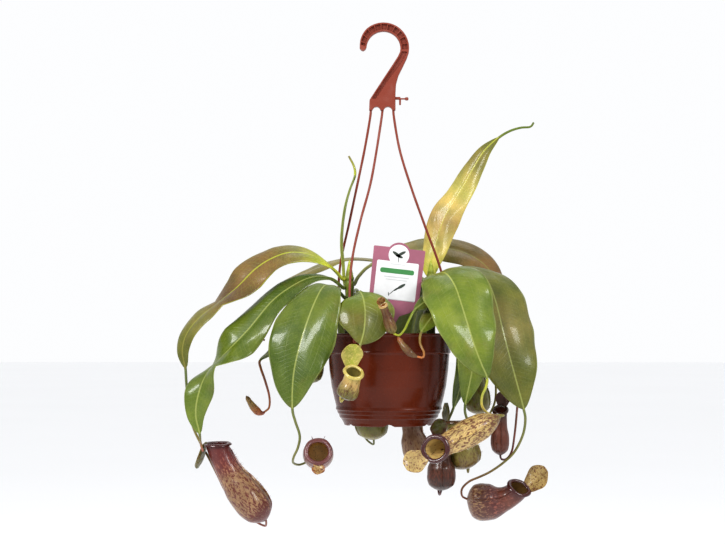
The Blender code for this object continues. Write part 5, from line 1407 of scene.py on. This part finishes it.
def make_stage(stage):
    """A wide pale floor far below, an even near-white sky, three soft lamps and the camera."""
    middle = [(low + high) / 2 for low, high in zip(*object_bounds())]
    mesh = bpy.data.meshes.new("floor")
    reach, level = 30.0, -0.95
    corners = [(x * reach, y * reach, level) for x, y in ((-1, -1), (1, -1), (1, 1), (-1, 1))]
    mesh.from_pydata(corners, [], [(0, 1, 2, 3)])
    f = Finish("floor_paint", 0.9)
    f.set("Base Color", f.mix(f.noise(0.8, 2), scaled(stage.backdrop, 0.97), tuple(stage.backdrop)))
    mesh.materials.append(f.material)
    floor = placed("floor", mesh, (0, 0, 0))

    world = bpy.data.worlds.new("sky")
    bpy.context.scene.world = world
    world.use_nodes = True
    sky = world.node_tree.nodes["Background"].inputs
    sky["Color"].default_value, sky["Strength"].default_value = (*stage.backdrop, 1), stage.sky
    view = bpy.context.scene.view_settings
    view.view_transform, view.look, view.exposure = "Standard", "Medium High Contrast", -0.22
    lamps = [add_lamp("key_lamp", (-1.3, -1.7, 1.0), middle, 0.8, 60 * stage.lamps),
             add_lamp("fill_lamp", (1.5, -1.5, 0.7), middle, 0.7, 30 * stage.lamps),
             add_lamp("top_lamp", (0.3, 0.5, 1.6), middle, 1.2, 10 * stage.lamps)]

    lens = bpy.data.cameras.new("camera")
    lens.lens, lens.sensor_width, lens.clip_end = 87.0, 36.0, 100.0
    camera = placed("camera", lens, (0.006, -2.0, -0.341), (-0.024, 0.0, -0.276))
    bpy.context.scene.camera = camera
    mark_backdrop(floor, *lamps, camera)


# ---- Settings, operators and panel ----

def colour_setting(name, default, description):
    return bpy.props.FloatVectorProperty(name=name, subtype="COLOR", size=3, min=0, max=1, default=default,
                                         description=description)


def setting(name, default, least, most, description, **more):
    """A number that a user can change: a whole number where its default is one."""
    kind = bpy.props.IntProperty if isinstance(default, int) else bpy.props.FloatProperty
    return kind(name=name, default=default, min=least, max=most, description=description, **more)


class PlantSettings(bpy.types.PropertyGroup):
    """What a user would change on the plant, its pot and its label."""

    pot_colour: colour_setting("Pot", (0.078, 0.0135, 0.0045), "Colour of the pot's plastic")
    hanger_colour: colour_setting("Hanger", (0.165, 0.036, 0.022), "Colour of the hook and its legs")
    peat_colour: colour_setting("Peat", (0.020, 0.011, 0.006), "Colour of the potting mix")
    card_colour: colour_setting("Label", (0.235, 0.085, 0.120), "Colour of the label's card")
    gloss: setting("Leaf gloss", 0.25, 0, 1, "How shiny the leaves' waxy coat is", subtype="FACTOR")
    hair_length: setting("Hair length", 0.0018, 0.0002, 0.01, "Length of the hairs on shoots and wings",
                         precision=4, unit="LENGTH")
    moss_height: setting("Moss height", 0.0052, 0.001, 0.02, "Height of the moss cushions",
                         precision=4, unit="LENGTH")
    moss_sprigs: setting("Moss sprigs", 5000, 100, 12000, "How many sprigs the moss has")
    stem_hairs: setting("Shoot hairs", 500, 10, 2000, "How many hairs each shoot has")
    fringe_hairs: setting("Fringe hairs", 70, 4, 300, "How many hairs fringe each pitcher's wings")
    lip_ribs: setting("Lip ribs", 56, 12, 90, "How many ribs a pitcher's lip has")
    pot_sides: setting("Pot sides", 144, 48, 180, "How many flats make the pot's round")
    blade_columns: setting("Blade columns", 25, 9, 31, "How many points lie across a leaf's upper side")


class StageSettings(bpy.types.PropertyGroup):
    """The backdrop's tone and the strength of the light."""

    backdrop: colour_setting("Backdrop", (0.955, 0.96, 0.97), "Tone of the floor and sky")
    sky: setting("Sky", 1.0, 0, 5, "Strength of the even light")
    lamps: setting("Lamps", 1.0, 0, 10, "Strength of the three soft lamps")


def shared_finish(name, make, *values):
    """The finish of this name, made the first time that it is asked for."""
    return bpy.data.materials.get(name) or make(name, *values)


def stem_finish():
    return shared_finish("stem_skin", tinted_finish, 0.5, 0.1, 0.28, 0.15, 140)


def leaf_finishes(size):
    """Each leaf slot's finish, by its roughness and its share of the gloss."""
    return {slot: shared_finish(slot + "_skin", leaf_finish, rough, coat * size.gloss)
            for slot, rough, coat in (("leaf_green", 0.36, 1.0), ("leaf_olive", 0.4, 0.8),
                                      ("leaf_bronze", 0.42, 0.8), ("leaf_tan", 0.46, 0.6))}


def cup_finishes():
    """Each pitcher slot's finish, by its roughness, with the lip's and the hairs'."""
    made = {slot: shared_finish(slot + "_skin", cup_finish, rough, 0.3)
            for slot, rough in (("pitcher_red", 0.36), ("pitcher_tan", 0.42), ("pitcher_maroon", 0.38),
                                ("pitcher_olive", 0.4))}
    return {**made, "stem": stem_finish(), "lip": shared_finish("lip_gloss", lip_finish)}


def checked(operator, before):
    """The end of an operator: it says how many faces were made, or raises an error where no piece was."""
    made = set(bpy.data.objects) - before
    if not made:
        raise RuntimeError(f"{operator.bl_label} made no piece")
    operator.report({"INFO"}, f"{len(made)} pieces, {sum(len(piece.data.polygons) for piece in made)} faces")
    return {"FINISHED"}


class PLANT_OT_pot(bpy.types.Operator):
    """Make the pot with its ridges, foot notches and drain holes"""

    bl_idname = "plant.pot"
    bl_label = "Pot"
    bl_options = {"REGISTER", "UNDO"}

    def execute(self, context):
        before, size = set(bpy.data.objects), context.scene.plant_settings
        make_pot(size, plastic_finish("pot_plastic_red", tuple(size.pot_colour), 0.24, 0.0))
        return checked(self, before)


class PLANT_OT_hanger(bpy.types.Operator):
    """Make the hook and the three legs that clip to the pot"""

    bl_idname = "plant.hanger"
    bl_label = "Hook and legs"
    bl_options = {"REGISTER", "UNDO"}

    def execute(self, context):
        before, size = set(bpy.data.objects), context.scene.plant_settings
        make_hanger(plastic_finish("hanger_plastic_red", tuple(size.hanger_colour), 0.42, 0.05))
        return checked(self, before)


class PLANT_OT_soil(bpy.types.Operator):
    """Make the peat with its crumbs, and the moss on it"""

    bl_idname = "plant.soil"
    bl_label = "Peat and moss"
    bl_options = {"REGISTER", "UNDO"}

    def execute(self, context):
        before, size = set(bpy.data.objects), context.scene.plant_settings
        crumbs = tinted_finish("crumb_grain", 0.85, 0.0, 0.4, 0.2, 700)
        make_soil(peat_finish(tuple(size.peat_colour)), crumbs)
        make_moss(size, tinted_finish("moss_green", 0.7, 0.0, 0.3, 0.1, 300))
        return checked(self, before)


class PLANT_OT_label(bpy.types.Operator):
    """Make the hanging label and its plain print"""

    bl_idname = "plant.label"
    bl_label = "Label"
    bl_options = {"REGISTER", "UNDO"}

    def execute(self, context):
        before, size = set(bpy.data.objects), context.scene.plant_settings
        ink = tinted_finish("print_ink", 0.4, 0.15, 0.05, 0.02, 90)
        make_label(card_finish(tuple(size.card_colour)), ink)
        return checked(self, before)


class PLANT_OT_shoots(bpy.types.Operator):
    """Make the two shoots with their hairs"""

    bl_idname = "plant.shoots"
    bl_label = "Shoots"
    bl_options = {"REGISTER", "UNDO"}

    def execute(self, context):
        before = set(bpy.data.objects)
        for side in STEMS:
            make_stem(side, context.scene.plant_settings, stem_finish())
        return checked(self, before)


class PLANT_OT_leaves(bpy.types.Operator):
    """Make every leaf with its tendril"""

    bl_idname = "plant.leaves"
    bl_label = "Leaves"
    bl_options = {"REGISTER", "UNDO"}

    def execute(self, context):
        before, size = set(bpy.data.objects), context.scene.plant_settings
        for name in LEAVES:
            make_leaf(name, size, leaf_finishes(size))
        return checked(self, before)


class PLANT_OT_pitchers(bpy.types.Operator):
    """Make every pitcher with its lip, lid and fringe, and the two closed ones"""

    bl_idname = "plant.pitchers"
    bl_label = "Pitchers"
    bl_options = {"REGISTER", "UNDO"}

    def execute(self, context):
        before, size = set(bpy.data.objects), context.scene.plant_settings
        for name in PITCHERS:
            make_pitcher(name, size, cup_finishes())
        for name in BUDS:
            make_bud(name, size, cup_finishes())
        return checked(self, before)


class PLANT_OT_stage(bpy.types.Operator):
    """Set up the floor, sky, lamps and camera"""

    bl_idname = "plant.stage"
    bl_label = "Stage"
    bl_options = {"REGISTER", "UNDO"}

    def execute(self, context):
        make_stage(context.scene.plant_stage)
        if context.scene.camera is None:
            raise RuntimeError("the stage has no camera")
        return {"FINISHED"}


OPERATORS = (PLANT_OT_pot, PLANT_OT_hanger, PLANT_OT_soil, PLANT_OT_label, PLANT_OT_shoots, PLANT_OT_leaves,
             PLANT_OT_pitchers, PLANT_OT_stage)


class PLANT_PT_panel(bpy.types.Panel):
    """The settings, and a button for each group of pieces"""

    bl_label = "Pitcher Plant"
    bl_idname = "PLANT_PT_panel"
    bl_space_type = "VIEW_3D"
    bl_region_type = "UI"
    bl_category = "Pitcher Plant"

    def draw(self, context):
        for settings in (context.scene.plant_settings, context.scene.plant_stage):
            column = self.layout.column()
            for name in settings.__annotations__:
                column.prop(settings, name)
        for operator in OPERATORS:
            self.layout.operator(operator.bl_idname)


CLASSES = (PlantSettings, StageSettings, *OPERATORS, PLANT_PT_panel)


def register():
    for made in CLASSES:
        bpy.utils.register_class(made)
    bpy.types.Scene.plant_settings = bpy.props.PointerProperty(type=PlantSettings)
    bpy.types.Scene.plant_stage = bpy.props.PointerProperty(type=StageSettings)


def unregister():
    del bpy.types.Scene.plant_stage
    del bpy.types.Scene.plant_settings
    for made in reversed(CLASSES):
        bpy.utils.unregister_class(made)


def main():
    register()
    for step in (bpy.ops.plant.pot, bpy.ops.plant.hanger, bpy.ops.plant.soil, bpy.ops.plant.label,
                 bpy.ops.plant.shoots, bpy.ops.plant.leaves, bpy.ops.plant.pitchers, bpy.ops.plant.stage):
        step()


if __name__ == "__main__":
    main()
